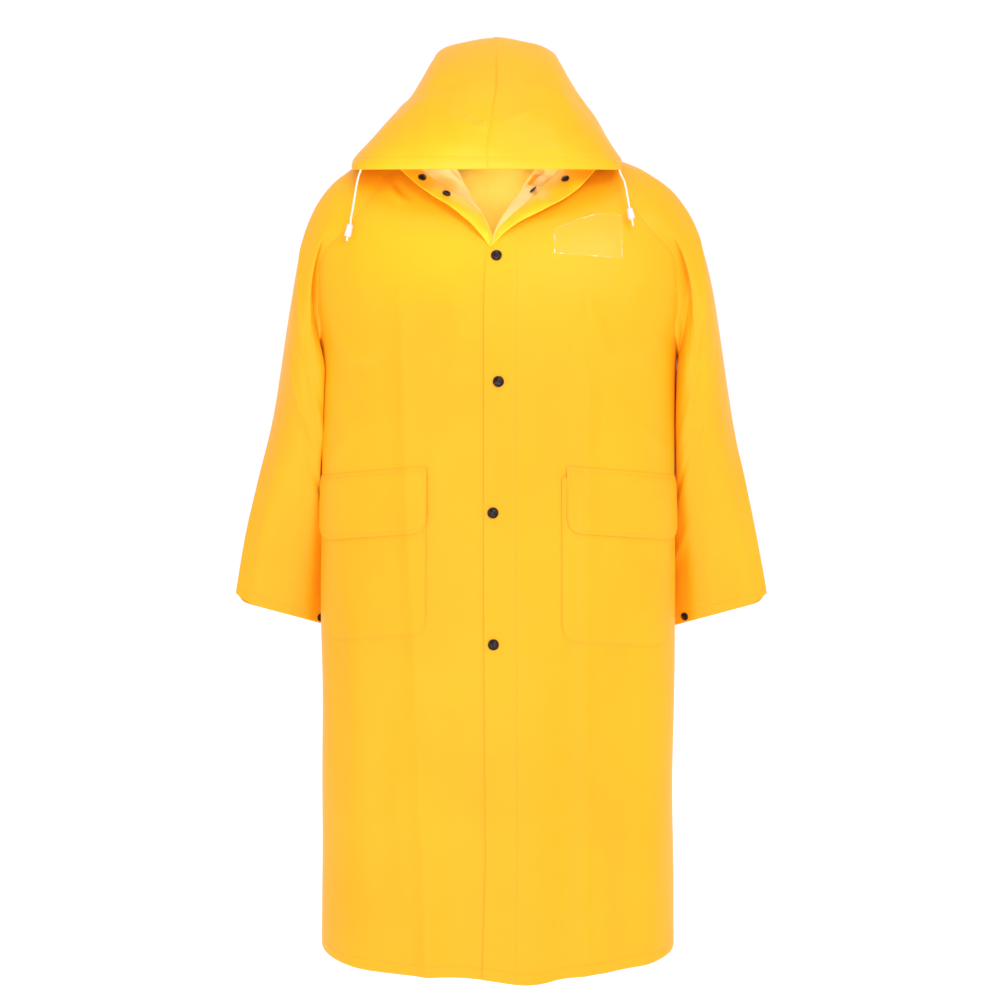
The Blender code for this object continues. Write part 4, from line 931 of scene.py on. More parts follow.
@dataclass(frozen=True)
class WovenBacking(Finish):
    """The uncoated side of the cloth: matt plain-woven polyester, tinted by the coat behind it."""

    thread: float = 0.0022  # real threads are 0.4 mm apart, too fine to show
    thread_depth: float = 0.00012
    patches_a_metre: float = 18.0  # soft dents of about 56 mm
    patch_depth: float = 0.0008
    yellow_patch_colour: str = "#ffcf4c"
    yellow_patch: float = 0.0  # how strongly a deeper yellow patch shows on the right top
    yellow_patch_place: tuple[float, float, float] = (-0.074, -0.092, 0.004)
    yellow_patch_reach: float = 0.030

    def build(self) -> Material:
        """Lays the weave, its patches and a deeper yellow patch on the right top.

        Returns:
            The material.
        """
        material, tree, shader = self.start()
        spread = add(tree, "ShaderNodeUVMap", uv_map="cloth")
        place = add(tree, "ShaderNodeTexCoord").outputs["Object"]
        waves = []
        for way in ("X", "Y"):
            settings = {"Vector": spread.outputs[0], "Scale": 0.5 / self.thread, "Distortion": 0.4}
            waves.append(add(tree, "ShaderNodeTexWave", settings, bands_direction=way).outputs["Fac"])
        weave = add(tree, "ShaderNodeMath", {0: waves[0], 1: waves[1]}, operation="MULTIPLY")
        dented = {"Vector": place, "Scale": self.patches_a_metre, "Detail": 3.0}
        patches = add(tree, "ShaderNodeTexNoise", dented)
        spread_out = {"Value": patches.outputs["Fac"], "From Min": 0.4, "From Max": 0.65, "To Max": 0.8}
        uneven = add(tree, "ShaderNodeMapRange", spread_out)
        face = add(tree, "ShaderNodeMix", {0: uneven.outputs[0], **self.tones}, data_type="RGBA")
        # a deeper yellow patch round one place on the right top's backing
        scale = 1 / self.yellow_patch_reach
        centred = {"Vector": place, "Scale": (scale, scale, scale)}
        centred["Location"] = tuple(-c * scale for c in self.yellow_patch_place)
        spot = add(tree, "ShaderNodeMapping", centred)
        blotch = add(tree, "ShaderNodeTexGradient", {0: spot.outputs[0]}, gradient_type="SPHERICAL")
        reach = {"Value": blotch.outputs["Fac"], "From Max": 0.55, "To Max": self.yellow_patch}
        yellow_patch_mask = add(tree, "ShaderNodeMapRange", reach, interpolation_type="SMOOTHSTEP")
        both = {0: yellow_patch_mask.outputs[0], 6: face.outputs[2], 7: linear(self.yellow_patch_colour)}
        colour = add(tree, "ShaderNodeMix", both, data_type="RGBA")
        tree.links.new(colour.outputs[2], shader.inputs["Base Color"])
        shader.inputs["Specular IOR Level"].default_value = 0.2
        shader.inputs["Sheen Weight"].default_value = 0.15
        threads, dents = (weave.outputs[0], self.thread_depth), (patches.outputs["Fac"], self.patch_depth)
        self.relief(tree, shader, threads, dents)
        return material


@dataclass(frozen=True)
class ClearVinyl(Finish):
    """Clear plasticised PVC film: nearly unseen but for its gloss, its welded rim, its ripples and the
    painted glints along its rim.
    """

    rim: float = 0.0022
    film: float = 0.02  # how much of the light the flat film keeps back
    ripples_a_metre: float = 38.0  # of about 26 mm
    glints_a_metre: float = 90.0  # painted glints, of about 11 mm, along the rim
    ripple_depth: float = 0.0016
    rim_depth: float = 0.0003

    def build(self) -> Material:
        """Lays the ripples of the film, and painted glints: broken patches of its rim where the pale film is
        more opaque.

        Returns:
            The material.
        """
        material, tree, shader = self.start()
        place = add(tree, "ShaderNodeTexCoord").outputs["Object"]
        slack = {"Vector": place, "Scale": self.ripples_a_metre, "Detail": 2.0, "Distortion": 1.2}
        ripples = add(tree, "ShaderNodeTexNoise", slack)
        rim = self.stitch_groove(tree, self.rim)
        # painted glints: broken patches along the rim where the pale film is made more opaque
        broken = {"Vector": place, "Scale": self.glints_a_metre, "Detail": 1.0}
        glint_patches = add(tree, "ShaderNodeTexNoise", broken)
        glint = {"Value": glint_patches.outputs["Fac"], "From Min": 0.55, "From Max": 0.66}
        shine = add(tree, "ShaderNodeMapRange", {**glint, "To Min": 0.04, "To Max": 0.80})
        edge = add(tree, "ShaderNodeMath", {0: rim, 1: shine.outputs[0]}, operation="MULTIPLY")
        both = {0: edge.outputs[0], 1: self.film}
        cover = add(tree, "ShaderNodeMath", both, operation="ADD", use_clamp=True)
        tree.links.new(cover.outputs[0], shader.inputs["Alpha"])
        colour = add(tree, "ShaderNodeMix", {0: rim, **self.tones}, data_type="RGBA")
        tree.links.new(colour.outputs[2], shader.inputs["Base Color"])
        shader.inputs["IOR"].default_value = 1.53
        shader.inputs["Coat Weight"].default_value = 0.6
        shader.inputs["Coat Roughness"].default_value = 0.08
        self.relief(tree, shader, (ripples.outputs["Fac"], self.ripple_depth), (rim, self.rim_depth))
        return material


@dataclass(frozen=True)
class BlackenedBrass(Finish):
    """Stamped brass snap caps, blackened: dark, rubbed a little brighter in patches."""

    rubs_a_metre: float = 260.0  # of about 4 mm, a third of a cap
    worn_depth: float = 0.00006

    def build(self) -> Material:
        """Lays the rubbed places.

        Returns:
            The material.
        """
        material, tree, shader = self.start()
        place = add(tree, "ShaderNodeTexCoord").outputs["Object"]
        fine = {"Vector": place, "Scale": self.rubs_a_metre, "Detail": 5.0, "Roughness": 0.7}
        rubbed = add(tree, "ShaderNodeTexNoise", fine)
        spread = {"Value": rubbed.outputs["Fac"], "From Min": 0.5, "From Max": 0.72, "To Max": 0.8}
        worn = add(tree, "ShaderNodeMapRange", spread)
        colour = add(tree, "ShaderNodeMix", {0: worn.outputs[0], **self.tones}, data_type="RGBA")
        tree.links.new(colour.outputs[2], shader.inputs["Base Color"])
        shader.inputs["Metallic"].default_value = 0.85
        self.relief(tree, shader, (rubbed.outputs["Fac"], self.worn_depth))
        return material


@dataclass(frozen=True)
class BraidedCotton(Finish):
    """A braided cotton drawcord: matt white, with the diamonds of its plait."""

    plait: float = 0.0030
    plait_depth: float = 0.0004

    def build(self) -> Material:
        """Lays the two ways of the plait.

        Returns:
            The material.
        """
        material, tree, shader = self.start()
        spread = add(tree, "ShaderNodeUVMap", uv_map="cloth")
        strands = []
        for turn in (1, -1):
            slanted = {"Vector": spread.outputs[0], "Rotation": (0, 0, turn * 0.7)}
            strand = add(tree, "ShaderNodeMapping", slanted)
            wave = {"Vector": strand.outputs[0], "Scale": 0.5 / self.plait}
            strands.append(add(tree, "ShaderNodeTexWave", wave, bands_direction="X").outputs["Fac"])
        plait = add(tree, "ShaderNodeMath", {0: strands[0], 1: strands[1]}, operation="MULTIPLY")
        colour = add(tree, "ShaderNodeMix", {0: plait.outputs[0], **self.tones}, data_type="RGBA")
        tree.links.new(colour.outputs[2], shader.inputs["Base Color"])
        shader.inputs["Sheen Weight"].default_value = 0.3
        self.relief(tree, shader, (plait.outputs[0], self.plait_depth))
        return material


@dataclass(frozen=True)
class MouldedPlastic(Finish):
    """Injection-moulded polypropylene: white, satin, with a faint flow mark."""

    flows_a_metre: float = 140.0  # of about 7 mm
    flow_depth: float = 0.00008

    def build(self) -> Material:
        """Lays the flow mark.

        Returns:
            The material.
        """
        material, tree, shader = self.start()
        place = add(tree, "ShaderNodeTexCoord").outputs["Object"]
        marks = {"Vector": place, "Scale": self.flows_a_metre, "Detail": 2.0}
        flow = add(tree, "ShaderNodeTexNoise", marks)
        colour = add(tree, "ShaderNodeMix", {0: flow.outputs["Fac"], **self.tones}, data_type="RGBA")
        tree.links.new(colour.outputs[2], shader.inputs["Base Color"])
        shader.inputs["IOR"].default_value = 1.49
        shader.inputs["Subsurface Weight"].default_value = 0.1
        shader.inputs["Subsurface Scale"].default_value = 0.002
        self.relief(tree, shader, (flow.outputs["Fac"], self.flow_depth))
        return material


@dataclass(frozen=True)
class SewingThread(Finish):
    """Spun polyester thread dyed to the coat, twisted, with a faint sheen."""

    twist: float = 0.0009
    twist_depth: float = 0.0001

    def build(self) -> Material:
        """Lays the twist.

        Returns:
            The material.
        """
        material, tree, shader = self.start()
        place = add(tree, "ShaderNodeTexCoord").outputs["Object"]
        wave = {"Vector": place, "Scale": 0.5 / self.twist}
        twist = add(tree, "ShaderNodeTexWave", wave, bands_direction="DIAGONAL")
        colour = add(tree, "ShaderNodeMix", {0: twist.outputs["Fac"], **self.tones}, data_type="RGBA")
        tree.links.new(colour.outputs[2], shader.inputs["Base Color"])
        shader.inputs["Sheen Weight"].default_value = 0.2
        self.relief(tree, shader, (twist.outputs["Fac"], self.twist_depth))
        return material


@dataclass(frozen=True)
class StudioPaper(Finish):
    """Seamless white background paper on a light table: matt, evenly bright, with a faint tooth."""

    glow: float = 0.35
    tooth_a_metre: float = 60.0  # coarse, since a real sheet's is too fine to show

    def build(self) -> Material:
        """Lays the tooth of the paper and its glow.

        Returns:
            The material.
        """
        material, tree, shader = self.start()
        place = add(tree, "ShaderNodeTexCoord").outputs["Object"]
        tooth = add(tree, "ShaderNodeTexNoise", {"Vector": place, "Scale": self.tooth_a_metre})
        colour = add(tree, "ShaderNodeMix", {0: tooth.outputs["Fac"], **self.tones}, data_type="RGBA")
        tree.links.new(colour.outputs[2], shader.inputs["Base Color"])
        shader.inputs["Specular IOR Level"].default_value = 0.1
        shader.inputs["Emission Color"].default_value = (1.0, 1.0, 1.0, 1.0)
        shader.inputs["Emission Strength"].default_value = self.glow
        return material


class Finishes:
    """All the finishes of the coat, each built once."""

    def __init__(self) -> None:
        """Builds the materials."""
        self.coat = CoatedCloth("pvc_coated_polyester", "#ffb41a", "#fba914", 0.46).build()
        self.backing = WovenBacking("woven_polyester_backing", "#ffe298", "#ffd474", 0.85, yellow_patch=1.0).build()
        # painted light: the facing strips lie in the brim's shade, so their yellow is a lighter one
        self.facing = CoatedCloth("pvc_coated_facing_lightened", "#ffc824", "#fcbe1c", 0.46).build()
        self.lining = WovenBacking("woven_polyester_inside", "#ffd75c", "#ffcc48", 0.85).build()
        self.vinyl = ClearVinyl("clear_pvc_film", "#fff2c0", "#fff6d8", 0.10).build()
        self.snap = BlackenedBrass("blackened_brass", "#2b2422", "#6e5850", 0.34).build()
        self.cord = BraidedCotton("braided_cotton", "#ebe7e2", "#f8f5f2", 0.8).build()
        self.toggle = MouldedPlastic("moulded_polypropylene", "#e0d2d6", "#ece2e5", 0.34).build()
        self.thread = SewingThread("spun_polyester_thread", "#f2b02a", "#ffcf52", 0.6).build()


# ================================================================ what repeats: stitches and snap caps
def new_tree(name: str, inputs: list[tuple[str, str, Any]]) -> tuple[Any, Any, Any]:
    """Starts a Geometry Nodes tree with named inputs.

    Args:
        name: The tree's name.
        inputs: The name, the socket type and the value of each input after the geometry.

    Returns:
        The tree, its input node and its output node.
    """
    tree = bpy.data.node_groups.new(name, "GeometryNodeTree")
    tree.interface.new_socket("Geometry", in_out="INPUT", socket_type="NodeSocketGeometry")
    for label, kind, value in inputs:
        socket = tree.interface.new_socket(label, in_out="INPUT", socket_type=kind)
        if value is not None:
            socket.default_value = value
    tree.interface.new_socket("Geometry", in_out="OUTPUT", socket_type="NodeSocketGeometry")
    return tree, tree.nodes.new("NodeGroupInput"), tree.nodes.new("NodeGroupOutput")


def set_input(modifier: Any, label: str, value: Any) -> None:
    """Sets a Geometry Nodes modifier's input through its socket's identifier.

    Args:
        modifier: The modifier.
        label: The input's name.
        value: What it is set to.
    """
    for item in modifier.node_group.interface.items_tree:
        if item.item_type == "SOCKET" and item.in_out == "INPUT" and item.name == label:
            modifier[item.identifier] = value


def bake(name: str, mesh: bpy.types.Mesh, tree: Any, values: dict[str, Any], smooth_angle: float) -> Any:
    """Runs a Geometry Nodes tree on a mesh and keeps the result as a plain mesh.

    Args:
        name: The new object's name.
        mesh: What the tree starts from.
        tree: The tree.
        values: The tree's inputs by name.
        smooth_angle: The angle in degrees up to which its faces shade smoothly.

    Returns:
        The object.
    """
    holder = bpy.data.objects.new(f"{name}_guide", mesh)
    bpy.context.scene.collection.objects.link(holder)
    modifier = holder.modifiers.new(name, "NODES")
    modifier.node_group = tree
    for label, value in values.items():
        set_input(modifier, label, value)
    bpy.context.view_layer.update()
    graph = bpy.context.evaluated_depsgraph_get()
    grown = holder.evaluated_get(graph)
    made = bpy.data.meshes.new_from_object(grown, preserve_all_data_layers=True, depsgraph=graph)
    made.name = name
    made.shade_smooth()
    made.set_sharp_from_angle(angle=math.radians(smooth_angle))
    obj = bpy.data.objects.new(name, made)
    bpy.context.scene.collection.objects.link(obj)
    bpy.data.objects.remove(holder, do_unlink=True)
    return obj


def guide_mesh(name: str, lines: list[tuple[Array, Array]], joined: bool) -> bpy.types.Mesh:
    """A mesh of bare points, with the direction each one faces in.

    Args:
        name: The mesh's name.
        lines: Runs of points and their directions.
        joined: Whether each run's points are joined by edges.

    Returns:
        The mesh.
    """
    points = np.concatenate([p for p, _ in lines])
    facing = np.concatenate([n for _, n in lines])
    edges, first = [], 0
    for run, _ in lines:
        if joined:
            edges += [(first + k, first + k + 1) for k in range(len(run) - 1)]
        first += len(run)
    mesh = bpy.data.meshes.new(name)
    mesh.from_pydata(points.tolist(), edges, [])
    mesh.attributes.new("facing", "FLOAT_VECTOR", "POINT").data.foreach_set("vector", facing.ravel())
    return mesh


@dataclass
class Sewing:
    """Lockstitch rows in thread dyed to the cloth, gathered from every piece that is sewn."""

    pitch: float = 0.0042
    stitch: float = 0.0031
    thread: float = 0.00065
    lift: float = 0.00005
    lines: list[tuple[Array, Array]] = field(default_factory=list)

    def gather(self, cloth: Cloth) -> None:
        """Adds the rows of stitches of a piece."""
        self.lines += cloth.stitch_lines()

    def tree(self) -> Any:
        """The tree that lays a stitch at each step of a line.

        Returns:
            The tree. Its inputs are the stitch's sizes and its thread.
        """
        sizes = [("Pitch", "NodeSocketFloat", 0.004), ("Stitch", "NodeSocketFloat", 0.003)]
        sizes += [("Thread", "NodeSocketFloat", 0.0006), ("Finish", "NodeSocketMaterial", None)]
        tree, given, out = new_tree("lockstitch", sizes)
        curve = add(tree, "GeometryNodeMeshToCurve", {0: given.outputs[0]})
        spaced = {0: curve.outputs[0], "Length": given.outputs["Pitch"]}
        steps = add(tree, "GeometryNodeResampleCurve", spaced, mode="LENGTH")
        bead = add(tree, "GeometryNodeMeshUVSphere", {"Segments": 6, "Rings": 4, "Radius": 0.5})
        tangent = add(tree, "GeometryNodeInputTangent")
        looks = add(tree, "GeometryNodeInputNamedAttribute", {"Name": "facing"}, data_type="FLOAT_VECTOR")
        along = add(tree, "FunctionNodeAlignRotationToVector", {"Vector": tangent.outputs[0]}, axis="X")
        turned = {"Rotation": along.outputs[0], "Vector": looks.outputs[0]}
        upright = add(tree, "FunctionNodeAlignRotationToVector", turned, axis="Z", pivot_axis="X")
        sizes_of = {0: given.outputs["Stitch"], 1: given.outputs["Thread"], 2: given.outputs["Thread"]}
        scale = add(tree, "ShaderNodeCombineXYZ", sizes_of)
        placed = {0: steps.outputs[0], "Rotation": upright.outputs[0], "Scale": scale.outputs[0]}
        laid = add(tree, "GeometryNodeInstanceOnPoints", {**placed, "Instance": bead.outputs[0]})
        real = add(tree, "GeometryNodeRealizeInstances", {0: laid.outputs[0]})
        dress = {0: real.outputs[0], "Material": given.outputs["Finish"]}
        tree.links.new(add(tree, "GeometryNodeSetMaterial", dress).outputs[0], out.inputs[0])
        return tree

    def make(self, finish: Material) -> Any:
        """Lays all the stitches as one piece.

        Args:
            finish: The thread's material.

        Returns:
            The object.
        """
        lines = [(points + self.lift * facing, facing) for points, facing in self.lines]
        values = {"Pitch": self.pitch, "Stitch": self.stitch, "Thread": self.thread, "Finish": finish}
        return bake("stitching", guide_mesh("stitch_guide", lines, True), self.tree(), values, 60)


@dataclass
class SnapCaps:
    """Pressed caps: a low dome inside a rolled rim, the same for each size."""

    diameter: float
    dome: float = 0.20  # rise over the diameter
    rim: float = 0.085
    places: list[tuple[Array, Array]] = field(default_factory=list)

    def put(self, point: Array, facing: Array) -> None:
        """Adds a cap whose foot is at a point."""
        self.places.append((np.asarray(point)[None], np.asarray(facing)[None]))

    def tree(self) -> Any:
        """The tree that sets a cap on each point.

        Returns:
            The tree. Its inputs are the cap's sizes and its finish.
        """
        sizes = [("Diameter", "NodeSocketFloat", 0.015), ("Dome", "NodeSocketFloat", 0.2)]
        sizes += [("Rim", "NodeSocketFloat", 0.08), ("Finish", "NodeSocketMaterial", None)]
        tree, given, out = new_tree("snap_cap", sizes)
        wide = given.outputs["Diameter"]
        thick = {0: wide, 1: given.outputs["Rim"]}
        rim_thick = add(tree, "ShaderNodeMath", thick, operation="MULTIPLY").outputs[0]
        half = add(tree, "ShaderNodeMath", {0: wide, 1: 0.5}, operation="MULTIPLY").outputs[0]
        reach = add(tree, "ShaderNodeMath", {0: half, 1: rim_thick}, operation="SUBTRACT").outputs[0]
        loop = add(tree, "GeometryNodeCurvePrimitiveCircle", {"Resolution": 36, "Radius": reach})
        bead = add(tree, "GeometryNodeCurvePrimitiveCircle", {"Resolution": 10, "Radius": rim_thick})
        rim = add(tree, "GeometryNodeCurveToMesh", {0: loop.outputs[0], 1: bead.outputs[0]})
        dome = add(tree, "GeometryNodeMeshUVSphere", {"Segments": 36, "Rings": 14, "Radius": reach})
        rise = add(tree, "ShaderNodeMath", {0: given.outputs["Dome"], 1: 2.0}, operation="MULTIPLY")
        flat = add(tree, "ShaderNodeCombineXYZ", {0: 1.0, 1: 1.0, 2: rise.outputs[0]})
        low = add(tree, "GeometryNodeTransform", {0: dome.outputs[0], "Scale": flat.outputs[0]})
        cap = add(tree, "GeometryNodeJoinGeometry", {0: low.outputs[0]})
        tree.links.new(rim.outputs[0], cap.inputs[0])
        looks = add(tree, "GeometryNodeInputNamedAttribute", {"Name": "facing"}, data_type="FLOAT_VECTOR")
        turn = add(tree, "FunctionNodeAlignRotationToVector", {"Vector": looks.outputs[0]}, axis="Z")
        up = add(tree, "ShaderNodeVectorMath", {0: looks.outputs[0], "Scale": rim_thick}, operation="SCALE")
        raised = add(tree, "GeometryNodeSetPosition", {0: given.outputs[0], "Offset": up.outputs[0]})
        placed = {0: raised.outputs[0], "Instance": cap.outputs[0], "Rotation": turn.outputs[0]}
        caps = add(tree, "GeometryNodeInstanceOnPoints", placed)
        real = add(tree, "GeometryNodeRealizeInstances", {0: caps.outputs[0]})
        dress = {0: real.outputs[0], "Material": given.outputs["Finish"]}
        tree.links.new(add(tree, "GeometryNodeSetMaterial", dress).outputs[0], out.inputs[0])
        return tree

    def make(self, name: str, finish: Material) -> Any:
        """Sets all the caps of this size as one piece."""
        values = {"Diameter": self.diameter, "Dome": self.dome, "Rim": self.rim, "Finish": finish}
        return bake(name, guide_mesh(f"{name}_guide", self.places, False), self.tree(), values, 50)


# ================================================================ the coat's pieces
@dataclass
class Piece:
    """What every sub-assembly works with: the body's surface, the finishes and the sewing."""

    hull: Hull
    finishes: Finishes
    sewing: Sewing

    def put(self, obj: Any, nodes: tuple[str, ...], slot: str) -> Any:
        """Lets a finished piece ride on the coat.

        Args:
            obj: The piece.
            nodes: The solids that it stands for.
            slot: The name of a material slot. Not used.

        Returns:
            The same piece.
        """
        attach(obj, "root")
        if nodes:
            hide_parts(*nodes)
        LOG.info("%s: %d faces", obj.name, len(obj.data.polygons) if obj.type == "MESH" else 0)
        return obj

    def sheet(self, cloth: Cloth, name: str, node: str, flat: Pair, lining: Any = None) -> Any:
        """Makes a piece of the coat's own cloth and sews it.

        Args:
            cloth: Its outer face.
            name: Its name.
            node: The solid that it stands for.
            flat: The width and the length that it is cut to. Not used.
            lining: The material of its inner face, when it isn't the plain inside.

        Returns:
            The object.
        """
        obj = cloth.make(name, self.finishes.coat, lining or self.finishes.lining)
        self.sewing.gather(cloth)
        self.put(obj, (node,) if node else (), "coated_cloth")
        return obj


def folded(cloth: Cloth, edge: Edge, radius: float, back: float) -> Cloth:
    """A piece whose edge is turned under: a half-round fold and a strip that runs back inside.

    Args:
        cloth: The piece.
        edge: The edge that is turned.
        radius: The fold's radius on its outer face.
        back: The width of the strip inside.

    Returns:
        The piece with the fold.
    """
    rows = edge in (Edge.TOP, Edge.FOOT)
    first = edge in (Edge.TOP, Edge.START)
    points = cloth.points if rows else cloth.points.transpose(1, 0, 2)
    facing = cloth.facing if rows else cloth.facing.transpose(1, 0, 2)
    if not first:
        points, facing = points[::-1], facing[::-1]
    out = unit(points[0] - points[1])
    out = unit(out - (out * facing[0]).sum(-1, keepdims=True) * facing[0])
    turned, looks = [], []
    for turn in np.radians(FOLD_TURNS):
        turned.append(points[0] + radius * (math.sin(turn) * out + (math.cos(turn) - 1) * facing[0]))
        looks.append(unit(math.cos(turn) * facing[0] + math.sin(turn) * out))
    steps = max(2, round(back / FOLD_STEP))
    for step in range(1, steps + 1):
        share = back * step / steps
        reach = np.maximum(np.abs(walked(points, 0) - share).argmin(axis=0), 0)
        base = np.take_along_axis(points, reach[None, :, None], 0)[0]
        looks_in = np.take_along_axis(facing, reach[None, :, None], 0)[0]
        turned.append(base - 2 * radius * looks_in)
        looks.append(-looks_in)
    points = np.concatenate([np.array(turned)[::-1], points])
    facing = np.concatenate([np.array(looks)[::-1], facing])
    if not first:
        points, facing = points[::-1], facing[::-1]
    if not rows:
        points, facing = points.transpose(1, 0, 2), facing.transpose(1, 0, 2)
    extra = math.pi * radius + back
    ends = (len(turned), 0) if first else (0, len(turned))
    sewn = []
    for sewn_edge, inset in cloth.sewn:
        inset = np.asarray(inset, float) + (extra if sewn_edge is edge else 0.0)
        if inset.ndim and rows:
            inset = np.pad(inset, ends, mode="edge")
        sewn.append((sewn_edge, inset))
    return Cloth(points, facing, cloth.closed, sewn)


@dataclass
class Back(Piece):
    """The back, cut in one piece, from the seams of one side round to those of the other."""

    hem_stitch: float = 0.015
    girth: float = 0.66  # about how far it runs round
    tucked: float = 0.6  # the share of a full tuck that it goes in under the sleeves
    seam_fade: float = 0.004  # it rises to its full height within this of a seam
    cut: Pair = (0.80, 1.27)

    def cloth(self) -> Cloth:
        """Lays out the back, with its hem turned.

        Returns:
            Its outer face.
        """
        rings = self.hull.rows()
        tuck = TUCK / self.hull.value("half_width", rings)
        start = np.maximum(self.hull.seam_angle(rings, False), QUARTER_TURN) - self.tucked * tuck
        angles = self.hull.spread(rings, start, 2 * math.pi - start, round(self.girth / CELL))
        spread = np.repeat(rings[:, None], angles.shape[1], axis=1)
        place = np.linspace(0, 1, angles.shape[1])
        sunk = np.exp(-(np.minimum(place, 1 - place) * self.girth / self.seam_fade)) * TUCK_DEPTH
        points = self.hull.skin(spread, angles, -sunk)
        piece = Cloth.over(points, self.hull.facing(spread, angles))
        piece.sewn = [(Edge.FOOT, self.hem_stitch)]
        return folded(piece, Edge.FOOT, FOLD_RADIUS, HEM_TURNED)

    def build(self) -> None:
        """Makes the back."""
        self.sheet(self.cloth(), "back_panel", "back", self.cut)


@dataclass
class Front(Piece):
    """One front: from its free edge at the middle to the raglan seam and the side seam."""

    side: Side = Side.LEFT
    lap: float = SOLID_WALL + 0.0006  # the left front lies on the right one
    lap_flat: float = 0.030
    lap_faded: float = 0.070
    v_foot_z: float = -0.096
    lap_start: float = 0.034
    girth: float = 0.30
    placket_stitch: float = 0.0465  # from the free edge, and straight on above the foot of the opening
    placket_x: float = 0.0272
    placket_top_z: float = -0.0760
    raglan_stitch: float = 0.0032
    raglan_fold: Pair = (0.0006, 0.004)  # its radius, and how far it runs back
    hem_stitch: float = 0.015
    cut: Pair = (0.50, 1.22)

    def lap_lift(self, points: Array) -> Array:
        """The left front's rise over the right one, near the middle and below the turned-open top.

        Args:
            points: Points of the bare body.

        Returns:
            The rise of each one.
        """
        if self.side is Side.RIGHT:
            return np.zeros(points.shape[:-1])
        near = 1 - ease((points[..., 0] - self.lap_flat) / (self.lap_faded - self.lap_flat))
        return self.lap * near * ease((self.v_foot_z + self.lap_start - points[..., 2]) / self.lap_start)

    def on(self, x: Any, z: Any, lift: Any) -> tuple[Array, Array]:
        """Finds places on this front.

        Args:
            x: Distances from the middle.
            z: Heights.
            lift: Distances off the cloth.

        Returns:
            The points, and the directions that they face in.
        """
        ring, angle = self.hull.place_on_front(x, z)
        points = self.hull.skin(ring, angle, lift + self.lap_lift(self.hull.bare(ring, angle)))
        return points, self.hull.facing(ring, angle)

    def cloth(self) -> Cloth:
        """Lays out the front from its free edge outwards, with its hem turned.

        Returns:
            Its outer face.
        """
        rings = self.hull.rows()
        start = self.hull.edge_angle(rings, self.side)
        end = np.minimum(self.hull.seam_angle(rings, True), QUARTER_TURN)
        angles = self.hull.spread(rings, start, end, round(self.girth / CELL)) * self.side.value
        spread = np.repeat(rings[:, None], angles.shape[1], axis=1)
        lift = self.lap_lift(self.hull.bare(spread, angles))
        points = self.hull.skin(spread, angles, lift)
        piece = Cloth.over(points, self.hull.facing(spread, angles))
        piece.sewn = [(Edge.END, self.raglan_stitch), (Edge.FOOT, self.hem_stitch)]
        if self.side is Side.LEFT:
            inset = np.minimum(self.placket_stitch, self.placket_x - points[:, 0, 0])
            piece.sewn.append((Edge.START, np.where(points[:, 0, 2] < self.placket_top_z, inset, UNSEWN)))
        piece = folded(piece, Edge.FOOT, FOLD_RADIUS, HEM_TURNED)
        return folded(piece, Edge.END, *self.raglan_fold)

    def build(self) -> None:
        """Makes the front."""
        self.sheet(self.cloth(), f"front_{self.side.word}_panel", f"front_{self.side.word}", self.cut)


@dataclass(frozen=True)
class OpenRow:
    """A row of a turned-open top: its roll line, its free edge, and the share that its facing covers."""

    roll_x: float
    roll_z: float
    edge_x: float
    edge_z: float
    facing_share: float


OPEN_TOPS = {
    Side.RIGHT: (
        OpenRow(-0.0092, -0.0900, -0.0112, -0.1010, 0.97),
        OpenRow(-0.0101, -0.0801, -0.0257, -0.0804, 0.97),
        OpenRow(-0.0218, -0.0515, -0.0588, -0.0476, 0.97),
        OpenRow(-0.0364, -0.0277, -0.0966, -0.0210, 0.80),
        OpenRow(-0.0469, -0.0050, -0.1231, 0.0014, 0.48),
        OpenRow(-0.0650, 0.0270, -0.1450, 0.0235, 0.33),
    ),
    Side.LEFT: (
        OpenRow(-0.0108, -0.1000, -0.0112, -0.1015, 1.00),
        OpenRow(0.0000, -0.0680, 0.0186, -0.0716, 0.74),
        OpenRow(0.0189, -0.0342, 0.0689, -0.0429, 0.64),
        OpenRow(0.0322, -0.0146, 0.0950, -0.0275, 0.66),
        OpenRow(0.0456, 0.0067, 0.1193, -0.0080, 0.66),
        OpenRow(0.0620, 0.0270, 0.1420, 0.0200, 0.62),
    ),
}


